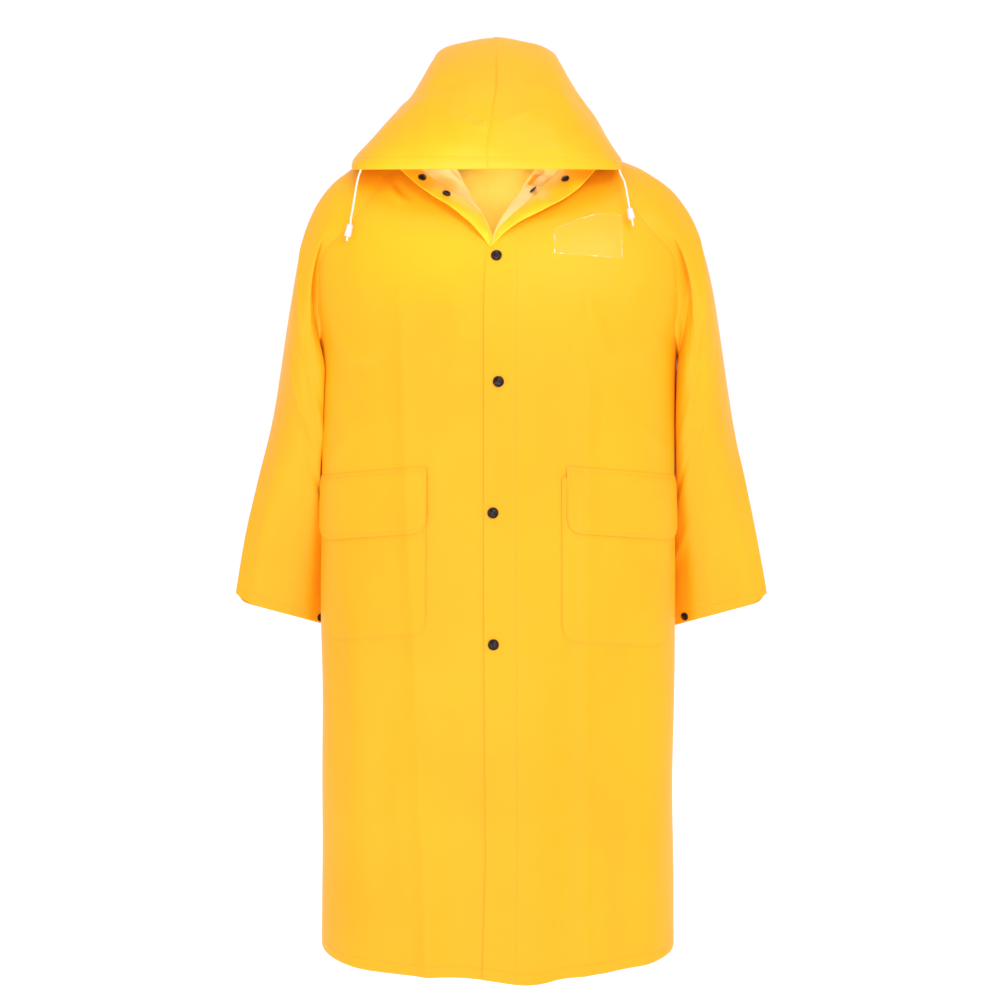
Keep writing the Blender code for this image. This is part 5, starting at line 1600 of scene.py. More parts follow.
@dataclass
class OpenTop(Piece):
    """The top of a front turned open: its backing, and the facing that carries snaps along the free edge."""

    side: Side = Side.LEFT
    root_lift: float = SOLID_WALL + 0.0008
    foot_lift: dict[Side, float] = field(default_factory=lambda: {Side.RIGHT: 0.0004, Side.LEFT: 0.0026})
    edge_lift: float = 0.0150
    foot_open: float = 0.04  # the share of its lift that its edge has at the foot
    open_by: float = 0.5  # shares of the way up by which it is open, off the cloth and wavy
    root_by: float = 0.25
    wave_by: float = 0.3
    wave: float = 0.0012
    ripple: float = 0.0008
    backing_reach: float = 0.985  # the share of its width that the backing covers
    facing_lift: float = 0.0009
    facing_stitch: float = 0.004
    length: float = 0.20
    fold: Pair = (0.0014, 0.008)  # at the roll: its radius, and how far it runs back
    facing_fold: Pair = (0.00125, 0.014)
    looks: tuple[float, float, float] = (0.0, -1.0, 0.3)  # roughly the way that it faces
    cut: Pair = (0.095, 0.17)
    facing_cut: Pair = (0.060, 0.19)

    def value(self, name: str, up: Any) -> Array:
        """One of the rows' numbers at a share of the way up."""
        rows = OPEN_TOPS[self.side]
        return smooth([getattr(row, name) for row in rows], np.asarray(up) * (len(rows) - 1))

    def point(self, up: Any, across: Any, lift: Any = 0.0) -> Array:
        """Finds places on it.

        Args:
            up: Shares of the way from the foot to the neck.
            across: Shares of the way from the roll to the free edge.
            lift: Distances off the cloth.

        Returns:
            The points.
        """
        up, across = np.broadcast_arrays(np.asarray(up, float), np.asarray(across, float))
        roll_x, roll_z = self.value("roll_x", up), self.value("roll_z", up)
        x = roll_x + (self.value("edge_x", up) - roll_x) * across
        z = roll_z + (self.value("edge_z", up) - roll_z) * across
        open_up = self.foot_open + (1 - self.foot_open) * ease(up / self.open_by)
        foot = self.foot_lift[self.side]
        root = foot + (self.root_lift - foot) * ease(up / self.root_by)
        rise = root + (self.edge_lift - self.root_lift) * open_up * (1 - (1 - across) ** 2)
        wave = self.wave * np.sin(up * 15 + self.side.value) * across
        wave = wave + self.ripple * np.sin(up * 31 + across * 7)
        return self.hull.over_front(x, z, rise + wave * ease(up / self.wave_by) + lift)

    def grid(self, start: Any, end: Any, lift: float, columns: int) -> Cloth:
        """A stretch of it between two shares across.

        Args:
            start: Where it starts.
            end: Where it ends.
            lift: Its distance off the cloth.
            columns: How many points a row has.

        Returns:
            Its outer face.
        """
        up = np.linspace(0, 1, round(self.length / CELL))[:, None]
        start, end = np.broadcast_to(start, up.shape), np.broadcast_to(end, up.shape)
        across = start + (end - start) * np.linspace(0, 1, columns)
        points = self.point(np.broadcast_to(up, across.shape), across, lift)
        return Cloth.over(points, np.array(self.looks))

    def build(self) -> None:
        """Makes the backing and the facing."""
        word = self.side.word
        up = np.linspace(0, 1, round(self.length / CELL))[:, None]
        bare = 1 - self.value("facing_share", up)
        backing = folded(self.grid(0.0, self.backing_reach, 0.0, 26), Edge.START, *self.fold)
        obj = backing.make(f"open_top_{word}", self.finishes.backing, self.finishes.coat)
        self.put(obj, (f"lapel_{word}",), "cloth_backing")
        facing = self.grid(bare, 1.0, self.facing_lift, 20)
        facing.sewn = [(Edge.START, self.facing_stitch)]
        facing = folded(facing, Edge.END, *self.facing_fold)
        obj = facing.make(f"facing_{word}_strip", self.finishes.facing, self.finishes.backing)
        self.sewing.gather(facing)
        self.put(obj, (f"facing_{word}",), "coated_cloth")

    @staticmethod
    def fit(cloth: Cloth, cut: Pair) -> float:
        """The flat area that a cut of these sizes gives a piece."""
        return min(max(cloth.area(), SHEET_LEAST * cut[0] * cut[1]), cut[0] * cut[1])


@dataclass
class NeckTab(OpenTop):
    """The small stitched tab beside the roll of the left top."""

    tab_up: Pair = (0.73, 0.88)
    tab_across: Pair = (0.03, 0.36)
    tab_lift: float = 0.0012
    tab_stitch: float = 0.003
    tab_wall: float = 0.0010

    def build(self) -> None:
        """Makes the tab."""
        up = np.linspace(*self.tab_up, 12)[:, None]
        across = np.broadcast_to(np.linspace(*self.tab_across, 10), (12, 10))
        points = self.point(np.broadcast_to(up, across.shape), across, self.tab_lift)
        tab = Cloth.over(points, np.array(self.looks))
        tab.sewn = [(edge, self.tab_stitch) for edge in (Edge.START, Edge.END, Edge.TOP, Edge.FOOT)]
        obj = tab.make("neck_tab", self.finishes.coat, self.finishes.lining, self.tab_wall)
        self.sewing.gather(tab)
        self.put(obj, (), "coated_cloth")


@dataclass(frozen=True)
class TubeRow:
    """A ring of the sleeve below the underarm. Its reach is counted from the coat's middle."""

    outer_right: float
    outer_left: float
    outer_z: float
    half_width: float
    half_depth: float
    mid_y: float
    tilt: float
    turn: float


TUBE = (
    TubeRow(0.326, 0.341, -0.262, 0.038, 0.092, 0.014, 14.0, 4.0),
    TubeRow(0.341, 0.355, -0.345, 0.046, 0.085, 0.020, 14.0, 8.0),
    TubeRow(0.364, 0.374, -0.440, 0.058, 0.072, 0.030, 14.0, 12.0),
    TubeRow(0.384, 0.393, -0.530, 0.070, 0.058, 0.042, 15.0, 15.0),
    TubeRow(0.3965, 0.4065, -0.617, 0.080, 0.046, 0.054, 15.5, 17.0),
)


@dataclass(frozen=True)
class SleeveFold:
    """A fold down the sleeve: its turn round the tube in degrees at both ends, and how far down they are."""

    turn_top: float
    turn_bottom: float
    down_top: float
    down_bottom: float
    height: float
    width: float


SLEEVE_FOLDS = (
    SleeveFold(14.0, 10.0, 0.25, 1.05, 0.0030, 10.0),
    SleeveFold(80.0, 64.0, 0.35, 1.05, -0.0045, 20.0),
    SleeveFold(-60.0, -78.0, 0.30, 1.05, 0.0045, 22.0),
    SleeveFold(12.0, 8.0, 0.10, 1.05, 0.0010, 4.0),
    SleeveFold(118.0, 108.0, 0.20, 0.95, 0.0022, 10.0),
    SleeveFold(46.0, 40.0, 0.45, 1.02, 0.0018, 9.0),
    SleeveFold(-30.0, -22.0, 0.40, 1.00, -0.0022, 12.0),
    SleeveFold(-118.0, -104.0, 0.25, 0.95, -0.0026, 14.0),
)
SLEEVE_CREASES = {  # across is metres round from the outer line, down is metres from the seam
    Side.RIGHT: (
        Crease((0.120, 0.330), (0.060, 0.352), 0.0026, 0.007, bow=0.006),
        Crease((0.190, 0.290), (0.100, 0.372), -0.0026, 0.010, bow=0.010),
        Crease((0.200, 0.352), (0.130, 0.420), 0.0022, 0.009),
        Crease((0.060, 0.180), (0.150, 0.300), 0.0024, 0.014, bow=0.010),
        Crease((0.030, 0.110), (0.110, 0.170), -0.0018, 0.011),
        Crease((-0.060, 0.300), (-0.150, 0.372), 0.0028, 0.011, bow=-0.008),
        Crease((-0.070, 0.390), (-0.140, 0.350), -0.0024, 0.010),
    ),
    Side.LEFT: (
        Crease((0.110, 0.350), (0.050, 0.378), 0.0020, 0.008, bow=0.006),
        Crease((0.200, 0.280), (0.110, 0.340), -0.0028, 0.011, bow=0.010),
        Crease((0.190, 0.370), (0.120, 0.450), 0.0022, 0.009),
        Crease((0.050, 0.160), (0.140, 0.290), 0.0024, 0.014, bow=0.012),
        Crease((0.030, 0.090), (0.120, 0.150), -0.0018, 0.012),
        Crease((-0.050, 0.290), (-0.150, 0.350), 0.0028, 0.011, bow=-0.008),
        Crease((-0.070, 0.400), (-0.140, 0.360), -0.0024, 0.010),
    ),
}


@dataclass
class Sleeve(Piece):
    """A raglan sleeve: from the neck, out over the shoulder, down to its open cuff."""

    side: Side = Side.LEFT
    neck_half_turn: float = 12.0
    pull_top: float = 1.45  # how full the shoulder is over the top and at the underarm
    pull_side: float = 0.85
    pull_reach: float = 0.60
    shoulder_slope: float = 0.10  # it leaves the neck along the shoulder, slightly upwards
    shoulder_reach: float = 0.90
    back_lean: float = 0.35  # at the back it leans forwards too, from this share down the seam
    lean_full: float = 0.09
    under_from: float = 0.60
    under_span: float = 0.30
    under_way: Pair = (0.45, -0.90)
    clearance: float = 0.0008
    soft: float = 0.002  # how gently it comes off the body
    front_fullness: float = 0.24  # its front fills out towards the body, down to this row
    fullness_end: float = 3.6
    corner_rise: float = 0.012
    fold_fade: float = 0.25
    seam_step: float = 0.0005
    seam_fade: float = 30.0  # how fast it rises from the seam
    ripple: float = 0.0005
    sewn_flat: float = 0.03  # no crease within this of the seam
    cuff_stitch: float = 0.013
    cuff_turned: float = 0.010
    shoulder_run: float = 0.26  # about how long it is from the seam to the table's first row
    arm_run: float = 0.38
    snap_turn: float = 120.6
    snap_up: float = 0.0085
    cut: Pair = (0.56, 0.78)

    def armhole(self) -> tuple[Array, Array, Array, Array]:
        """The raglan seam as a loop: from the neck, down the front, under the arm and up the back.

        Returns:
            The ring and angle of each point, how near it is to the underarm, and its turn round the tube.
        """
        down = self.hull.rows()
        down = down[down <= UNDERARM_RING]
        neck = 8
        front, back = self.hull.seam_angle(down, True), self.hull.seam_angle(down, False)
        rings = np.concatenate([np.zeros(neck), down[:-1], down[::-1], np.zeros(neck - 1)])
        angles = [np.linspace(QUARTER_TURN, front[0], neck + 1)[:-1], front[:-1], back[::-1]]
        angles.append(np.linspace(back[0], QUARTER_TURN, neck + 1)[1:-1])
        near = []
        for seam in (front, back):
            along = walked(self.hull.bare(down, seam), 0)
            near.append(along / along[-1])
        nearness = np.concatenate([np.zeros(neck), near[0][:-1], near[1][::-1], np.zeros(neck - 1)])
        first = math.radians(self.neck_half_turn)
        turns = [np.linspace(0, first, neck + 1)[:-1], first + (HALF_TURN - first) * near[0][:-1]]
        turns.append(2 * math.pi - first - (HALF_TURN - first) * near[1][::-1])
        turns.append(np.linspace(2 * math.pi - first, 2 * math.pi, neck + 1)[1:-1])
        return rings, np.concatenate(angles), nearness, np.concatenate(turns)

    def tube(self, place: float, turns: Array) -> Array:
        """Lays out the tube at a row of its table.

        Args:
            place: The row.
            turns: Turns round it: 0 is its outer line, and a quarter turn its front.

        Returns:
            A point for each turn.
        """
        row = row_at(TUBE, place)
        side = self.side.value
        tilt, yaw = math.radians(row["tilt"]), math.radians(row["turn"])
        outer = row["outer_right"] if self.side is Side.RIGHT else row["outer_left"]
        wide, deep = row["half_width"], row["half_depth"]
        reach = math.hypot(wide * math.cos(tilt) * math.cos(yaw), deep * math.sin(yaw))
        level = math.cos(tilt)
        out = np.array([side * level * math.cos(yaw), -level * math.sin(yaw), math.sin(tilt)])
        back = np.array([side * math.sin(yaw), math.cos(yaw), 0.0])
        centre = np.array([side * (outer - reach), row["mid_y"], row["outer_z"] - wide * out[2]])
        rise = self.folds(turns, place / (len(TUBE) - 1))
        inner = np.where((turns > QUARTER_TURN) & (turns < HALF_TURN), np.sin(2 * turns) ** 2, 0.0)
        full = 1 + self.front_fullness * inner * (1 - ease(place / self.fullness_end))
        across, over = (wide + rise) * np.cos(turns) * full, (deep + rise) * np.sin(turns) * full
        points = centre + across[:, None] * out - over[:, None] * back
        corner = self.corner_rise * ease(place - (len(TUBE) - 2))
        points[:, 2] += corner * np.clip(np.cos(turns), 0, 1) ** 10
        return points

    def folds(self, turns: Array, down: float) -> Array:
        """The rise of the folds round the tube, a share of the way down it.

        Args:
            turns: Turns round the tube.
            down: The share of the way down it.

        Returns:
            The rise at each turn.
        """
        total = np.zeros_like(turns)
        for fold in SLEEVE_FOLDS:
            share = np.clip((down - fold.down_top) / (fold.down_bottom - fold.down_top), 0, 1)
            line = math.radians(fold.turn_top + (fold.turn_bottom - fold.turn_top) * share)
            apart = (turns - line + HALF_TURN) % (2 * math.pi) - HALF_TURN
            here = float(ease((down - fold.down_top) / self.fold_fade))
            total += fold.height * here * np.exp(-((apart / math.radians(fold.width)) ** 2))
        return total

    def keep_clear(self, points: Array) -> Array:
        """Moves points of the tube out to where they just clear the body.

        Args:
            points: Points of the tube.

        Returns:
            The points, moved.
        """
        side, hull = self.side.value, self.hull
        ring = hull.ring_at_side(np.minimum(points[..., 2], RINGS[UNDERARM_RING].side_z))
        mid = hull.value("mid_y", ring)
        end = np.where(points[..., 1] < mid, hull.value("front_y", ring), hull.value("back_y", ring))
        share = np.clip(np.abs((points[..., 1] - mid) / (end - mid)), 0, 1)
        body = hull.value("half_width", ring) * (1 - share ** (2 / hull.oval_power)) ** (hull.oval_power / 2)
        body = body + self.clearance
        x = side * points[..., 0]
        clear = (x + body + np.sqrt((x - body) ** 2 + self.soft**2)) / 2
        moved = points.copy()
        moved[..., 0] = side * np.where(share < 1, clear, x)
        return moved

    def leaving(self, leave: Array, angles: Array, nearness: Array) -> tuple[Array, Array]:
        """The way that the sleeve leaves its seam: along the shoulder above, and down beside the body below.

        Args:
            leave: The way square to the seam, at each point of the armhole.
            angles: The points' angles round the body.
            nearness: How near each is to the underarm.

        Returns:
            The directions, and how far each has turned down.
        """
        side = self.side.value
        over = 1 - ease(nearness / self.shoulder_reach)[:, None]
        forwards = -self.back_lean * np.clip(nearness / self.lean_full, 0, 1)
        lean = np.where(angles > QUARTER_TURN, forwards, 0.0)
        way = np.stack([np.full(lean.shape, side), lean, np.full(lean.shape, self.shoulder_slope)], axis=-1)
        leave = unit(leave * (1 - over) + unit(way) * over)
        under = ease((nearness - self.under_from) / self.under_span)[:, None]
        down = np.array([side * self.under_way[0], 0.0, self.under_way[1]])
        return unit(leave * (1 - under) + down * under), under

    def cloth(self) -> Cloth:
        """Lays out the sleeve from its seam to its cuff, with its creases.

        Returns:
            Its outer face.
        """
        side, hull = self.side.value, self.hull
        rings, angles, nearness, turns = self.armhole()
        seam, looks = hull.skin(rings, side * angles), hull.facing(rings, side * angles)
        leave = unit(np.cross(looks, np.roll(seam, -1, axis=0) - np.roll(seam, 1, axis=0)))
        leave *= np.sign(leave[0, 0] * side)
        leave, under = self.leaving(leave, angles, nearness)
        first, second = (self.keep_clear(self.tube(place, turns)) for place in (0.0, 0.25))
        arrive = unit(second - first)
        pull = self.pull_top + (self.pull_side - self.pull_top) * ease(nearness / self.pull_reach)
        strength = (pull * np.linalg.norm(first - seam, axis=-1))[:, None]
        start = seam + self.seam_step * leave
        lines = [seam - TUCK * leave * (1 - under) - TUCK_DEPTH * looks]
        for t in np.linspace(0, 1, round(self.shoulder_run / CELL), endpoint=False):
            spot = (1 + 2 * t) * (1 - t) ** 2 * start + t * (1 - t) ** 2 * strength * leave
            spot = spot + t * t * (3 - 2 * t) * first - t * t * (1 - t) * strength * arrive
            lines.append(spot - TUCK_DEPTH * math.exp(-t * self.seam_fade) * looks)
        for place in np.linspace(0, len(TUBE) - 1, round(self.arm_run / CELL)):
            lines.append(self.keep_clear(self.tube(place, turns)))
        points = np.array(lines)
        outwards = points - points.mean(axis=1, keepdims=True)
        piece = Cloth.over(points, outwards, closed=True)
        round_way = walked(points, 1)
        total = np.linalg.norm(points[:, -1] - points[:, 0], axis=-1)[:, None] + round_way[:, -1:]
        across = np.where(round_way > total / 2, round_way - total, round_way)
        down = walked(points, 0)
        lift = rise_of(SLEEVE_CREASES[self.side], across, down)
        lift = lift + self.ripple * np.sin(across * 44 + down * 12) * np.sin(down * 29 + side)
        piece = piece.raised(lift * ease(down / self.sewn_flat))
        piece.sewn = [(Edge.FOOT, self.cuff_stitch)]
        return folded(piece, Edge.FOOT, FOLD_RADIUS, self.cuff_turned)

    def snap_place(self, cloth: Cloth) -> tuple[Array, Array]:
        """Finds where the cuff's snap sits.

        Args:
            cloth: The sleeve's outer face.

        Returns:
            The point, and the way that it faces.
        """
        turns = self.armhole()[3]
        column = int(np.abs(turns - math.radians(self.snap_turn)).argmin())
        away = cloth.distance(Edge.FOOT)[:, column]
        row = int(np.abs(away - (math.pi * FOLD_RADIUS + self.cuff_turned + self.snap_up)).argmin())
        return cloth.points[row, column], cloth.facing[row, column]

    def build(self) -> tuple[Array, Array]:
        """Makes the sleeve.

        Returns:
            Its snap's place, and the way that it faces.
        """
        cloth = self.cloth()
        self.sheet(cloth, f"sleeve_{self.side.word}_tube", f"sleeve_{self.side.word}", self.cut)
        return self.snap_place(cloth)


@dataclass(frozen=True)
class HoodRow:
    """A row of the hood, from its neck seam over its side to the centre seam.

    The rows go from the face to the back of the neck.
    """

    centre_y: float
    centre_z: float
    half_width: float
    side_y: float
    side_z: float
    neck: float
    tent: float


HOOD_ROWS = (
    HoodRow(-0.150, 0.0085, 0.197, -0.085, 0.0180, 44.0, 0.00),  # face edge, the brim
    HoodRow(-0.156, 0.045, 0.1975, -0.070, 0.0215, 53.0, 0.60),
    HoodRow(-0.144, 0.095, 0.1990, -0.050, 0.0255, 63.0, 0.80),
    HoodRow(-0.118, 0.145, 0.2000, -0.030, 0.0290, 73.0, 0.90),
    HoodRow(-0.078, 0.190, 0.2000, -0.010, 0.0310, 83.0, 0.96),
    HoodRow(-0.028, 0.222, 0.1990, 0.012, 0.0320, 93.0, 1.00),
    HoodRow(0.024, 0.229, 0.1920, 0.035, 0.0330, 103.0, 1.00),  # crown
    HoodRow(0.072, 0.207, 0.1750, 0.060, 0.0330, 115.0, 0.95),
    HoodRow(0.106, 0.166, 0.153, 0.085, 0.0340, 129.0, 0.80),
    HoodRow(0.124, 0.122, 0.117, 0.106, 0.0390, 144.0, 0.60),
    HoodRow(0.124, 0.092, 0.070, 0.110, 0.0520, 157.0, 0.40),
    HoodRow(0.0887, 0.0607, 0.016, 0.0882, 0.0603, 168.0, 0.00),  # back of the neck
)
HOOD_OUTLINE = (  # share of the half width at a share of the height
    (1.000, 0.000),
    (0.950, 0.066),
    (0.868, 0.200),
    (0.765, 0.370),
    (0.640, 0.530),
    (0.545, 0.690),
    (0.470, 0.825),
    (0.400, 0.890),
    (0.275, 0.945),
    (0.130, 0.982),
    (0.000, 1.000),
)
HOOD_LEAN = (  # how far to one side it leans at a height
    (0.008, -0.016),
    (0.045, -0.016),
    (0.090, -0.009),
    (0.130, -0.003),
    (0.195, -0.003),
    (0.229, -0.006),
)
HOOD_CREASES = {  # across is metres from the centre seam, down is metres from the brim
    Side.RIGHT: (
        Crease((0.002, 0.062), (0.046, 0.080), 0.0034, 0.006, bow=0.004),
        Crease((0.002, 0.074), (0.036, 0.070), -0.0026, 0.005),
        Crease((0.010, 0.020), (0.070, 0.110), 0.0020, 0.012, bow=0.008),
        Crease((0.060, 0.016), (0.140, 0.070), -0.0022, 0.014, bow=0.010),
        Crease((0.090, 0.120), (0.200, 0.050), 0.0024, 0.013, bow=-0.010),
        Crease((0.030, 0.160), (0.120, 0.130), -0.0018, 0.012, bow=0.008),
        Crease((0.040, 0.260), (0.160, 0.330), 0.0030, 0.016, bow=0.014),
        Crease((0.020, 0.330), (0.130, 0.380), -0.0028, 0.015, bow=0.010),
        Crease((0.160, 0.150), (0.240, 0.240), 0.0026, 0.014, bow=0.010),
    ),
    Side.LEFT: (
        Crease((0.002, 0.066), (0.060, 0.100), 0.0024, 0.008, bow=0.006),
        Crease((0.010, 0.030), (0.090, 0.060), -0.0018, 0.012, bow=0.008),
        Crease((0.040, 0.140), (0.130, 0.080), 0.0022, 0.014, bow=-0.012),
        Crease((0.090, 0.018), (0.150, 0.080), 0.0020, 0.012, bow=0.008),
        Crease((0.110, 0.150), (0.210, 0.070), -0.0024, 0.014, bow=-0.010),
        Crease((0.030, 0.250), (0.150, 0.300), 0.0030, 0.016, bow=0.012),
        Crease((0.020, 0.350), (0.120, 0.340), -0.0028, 0.014, bow=0.010),
        Crease((0.170, 0.180), (0.230, 0.270), 0.0024, 0.013, bow=0.008),
    ),
}


@dataclass
class Hood(Piece):
    """Half of the hood, standing up empty and slumped, from its centre seam to the neck."""

    side: Side = Side.LEFT
    side_raise: float = 0.0138  # how much higher its side is halfway back
    neck_lift: float = 0.0003
    sewn_flat: float = 0.025  # no crease within this of the neck seam
    shoulder_rise: float = 0.0125  # it rides over the sleeve between its neck seam and its side
    seam_gap: float = 0.0002
    seam_dip: float = 0.0005
    seam_width: float = 0.0022
    ripple: float = 0.0007
    brim_flat: float = 0.03  # neither creases nor ripples come nearer to the brim
    brim_still: float = 0.04
    middle: tuple[float, float, float] = (0.0, -0.02, 0.05)  # a place inside
    lean_row: float = 7.0
    lean_fade: float = 4.0
    allowance: Table = ((0.0015, 0.0008), (0.004, 0.0013), (0.008, 0.0015))
    casing_stitch: float = 0.018
    casing_puff: float = 0.0011
    casing_turned: float = 0.017
    length: float = 0.48  # along the centre seam
    girth: float = 0.36  # from the neck seam to the centre seam
    cut: Pair = (0.38, 0.52)

    def row(self, place: float, over: int, under: int) -> Array:
        """One row, from the neck seam to the centre seam.

        Args:
            place: The row, counted in the table's.
            over: How many points it has over the side.
            under: How many it has beneath.

        Returns:
            Its points.
        """
        row = row_at(HOOD_ROWS, place)
        side = self.side.value
        steps = np.linspace(0, len(HOOD_OUTLINE) - 1, over)
        wide, high = (smooth([pair[k] for pair in HOOD_OUTLINE], steps) for k in (0, 1))
        round_share = np.sqrt(np.maximum(1 - wide**2, 0))
        up = row["tent"] * high + (1 - row["tent"]) * round_share
        y = row["side_y"] + (row["centre_y"] - row["side_y"]) * round_share
        raised = self.side_raise * math.sin(HALF_TURN * place / (len(HOOD_ROWS) - 1))
        z = row["side_z"] + raised * wide**4 + (row["centre_z"] - row["side_z"]) * up
        heights, leans = zip(*HOOD_LEAN)
        lean = np.interp(z, heights, leans) * (1 - float(ease((place - self.lean_row) / self.lean_fade)))
        x = lean + side * (row["half_width"] * wide + self.seam_gap / 2)
        cover = np.stack([x, y, z], axis=-1)
        neck = self.hull.skin(0.0, side * math.radians(row["neck"])) + (0, 0, self.neck_lift)
        share = np.linspace(0, 1, under, endpoint=False)[:, None]
        beneath = neck * (1 - share) + cover[0] * share
        beneath[:, 2] += 4 * self.shoulder_rise * (share * (1 - share))[:, 0]
        return np.concatenate([beneath, cover])

    def cloth(self) -> Cloth:
        """Lays out the half, with its casing, its seam and its creases.

        Returns:
            Its outer face.
        """
        places = np.linspace(0, len(HOOD_ROWS) - 1, round(self.length / CELL))
        raw = [self.row(place, 160, 30) for place in places]
        shares = np.linspace(0, 1, round(self.girth / CELL))
        rows = []
        for line in raw:
            along = walked(line, 0)
            wanted = shares * along[-1]
            rows.append(np.stack([np.interp(wanted, along, line[:, k]) for k in range(3)], axis=-1))
        points = np.array(rows)
        towards = points - np.array(self.middle)
        piece = Cloth.over(points, towards)
        across, down = piece.distance(Edge.END), piece.distance(Edge.TOP)
        lift = rise_of(HOOD_CREASES[self.side], across, down)
        casing = np.clip(down / self.casing_stitch, 0, 1)
        puff = self.casing_puff * np.sin(HALF_TURN * casing) * (down < self.casing_stitch)
        lift = lift * ease(down / self.brim_flat) + puff
        lift = lift - self.seam_dip * np.exp(-((across / self.seam_width) ** 2))
        wave = np.sin(across * 37 + down * 21 + self.side.value)
        lift = lift + self.ripple * wave * ease(down / self.brim_still)
        sewn_on = np.minimum(piece.distance(Edge.START), piece.distance(Edge.FOOT))
        piece = piece.raised(lift * ease(sewn_on / self.sewn_flat))
        if self.side is Side.LEFT:
            piece = self.tucked(piece)
        piece.sewn = [(Edge.TOP, self.casing_stitch)]
        return folded(piece, Edge.TOP, FOLD_RADIUS, self.casing_turned)

    def tucked(self, cloth: Cloth) -> Cloth:
        """This half with its seam allowance, which runs in under the other half.

        Args:
            cloth: The half.

        Returns:
            The half with it.
        """
        points, facing = cloth.points, cloth.facing
        out = unit(points[:, -1] - points[:, -2])
        looks = [points]
        for reach, sink in self.allowance:
            looks.append((points[:, -1] + reach * out - sink * facing[:, -1])[:, None])
        return Cloth(np.concatenate(looks, axis=1), np.concatenate([facing] + [facing[:, -1:]] * 3, axis=1))

    def build(self) -> None:
        """Makes the half."""
        self.sheet(self.cloth(), f"hood_{self.side.word}_half", f"hood_{self.side.word}", self.cut)


@dataclass
class Pocket(Piece):
    """A patch pocket with round lower corners, and the flap over its mouth."""

    front: Front | None = None
    inner_x: float = 0.103
    outer_x: float = 0.251
    top_z: float = -0.432
    foot_z: float = -0.658
    corner: float = 0.022
    flap_inner_x: float = 0.0985
    flap_outer_x: float = 0.2615
    flap_top_z: float = -0.417
    flap_foot_z: float = -0.512
    flap_corner: float = 0.020
    side_drop: float = 0.012
    lap: float = 0.0016  # how far its own cloth and its turned edges stand off the front
    slack: Table = ((0.0, 0.0012), (0.03, 0.0008), (0.2, 0.0))  # how much further at a depth below its mouth
    flap_slack: Table = ((0.0, 0.0), (0.004, 0.0004), (0.012, 0.0021), (0.05, 0.0029), (0.2, 0.0035))
    wall: float = 0.0011
    flap_wall: float = 0.0014
    seams: Pair = (0.02, 0.03)  # what its cut has more than it shows
    flap_seams: Pair = (0.02, 0.02)
    rim: float = 0.002  # its edge lies this much lower within this distance of it
    rim_sunk: float = 0.0004
    edge_stitch: float = 0.0035
    flap_stitch: float = 0.0050

    def patch(self, x_ends: Pair, z_ends: Pair, corner: float, lifts: Any) -> Cloth:
        """A piece on the front with round lower corners.

        Args:
            x_ends: Its inner and outer distances from the middle.
            z_ends: The heights of its top and its foot.
            corner: The corners' radius.
            lifts: How far it stands off at some depths below its top, as pairs.

        Returns:
            Its outer face.
        """
        width, height = x_ends[1] - x_ends[0], z_ends[0] - z_ends[1]
        fine = CELL * 0.8
        along = np.linspace(0, 1, round(width / fine)) * width
        from_end = np.minimum(along, width - along)
        inside = np.clip(corner - from_end, 0, corner)
        rise = corner - np.sqrt(np.maximum(corner**2 - inside**2, 0))
        sink = self.side_drop * along / width
        down = np.linspace(0, 1, round(height / fine))[:, None]
        z = z_ends[0] - sink - down * (height - rise)
        x = self.front.side.value * (x_ends[0] + np.broadcast_to(along, z.shape))
        lift = np.interp(z_ends[0] - sink - z, [d for d, _ in lifts], [r for _, r in lifts])
        from_rim = np.minimum(np.minimum(from_end, self.rim), height * np.minimum(down, 1 - down))
        lift = lift - self.rim_sunk * (1 - ease(from_rim / self.rim))
        points, facing = self.front.on(x, z, lift)
        return Cloth.over(points, facing)

    def build(self) -> None:
        """Makes the pocket and its flap."""
        word = self.front.side.word
        lap = self.lap
        slack = [(down, lap + rise) for down, rise in self.slack]
        pocket = self.patch((self.inner_x, self.outer_x), (self.top_z, self.foot_z), self.corner, slack)
        pocket.sewn = [(edge, self.edge_stitch) for edge in (Edge.START, Edge.END, Edge.FOOT)]
        obj = pocket.make(f"pocket_{word}_patch", self.finishes.coat, self.finishes.lining, self.wall)
        self.sewing.gather(pocket)
        self.put(obj, (f"pocket_{word}",), "coated_cloth")
        lifts = [(down, lap + rise) for down, rise in self.flap_slack]
        x_ends, z_ends = (self.flap_inner_x, self.flap_outer_x), (self.flap_top_z, self.flap_foot_z)
        flap = self.patch(x_ends, z_ends, self.flap_corner, lifts)
        flap.sewn = [(edge, self.flap_stitch) for edge in (Edge.TOP, Edge.START, Edge.END, Edge.FOOT)]
        obj = flap.make(f"flap_{word}_patch", self.finishes.coat, self.finishes.lining, self.flap_wall)
        self.sewing.gather(flap)
        self.put(obj, (f"flap_{word}",), "coated_cloth")


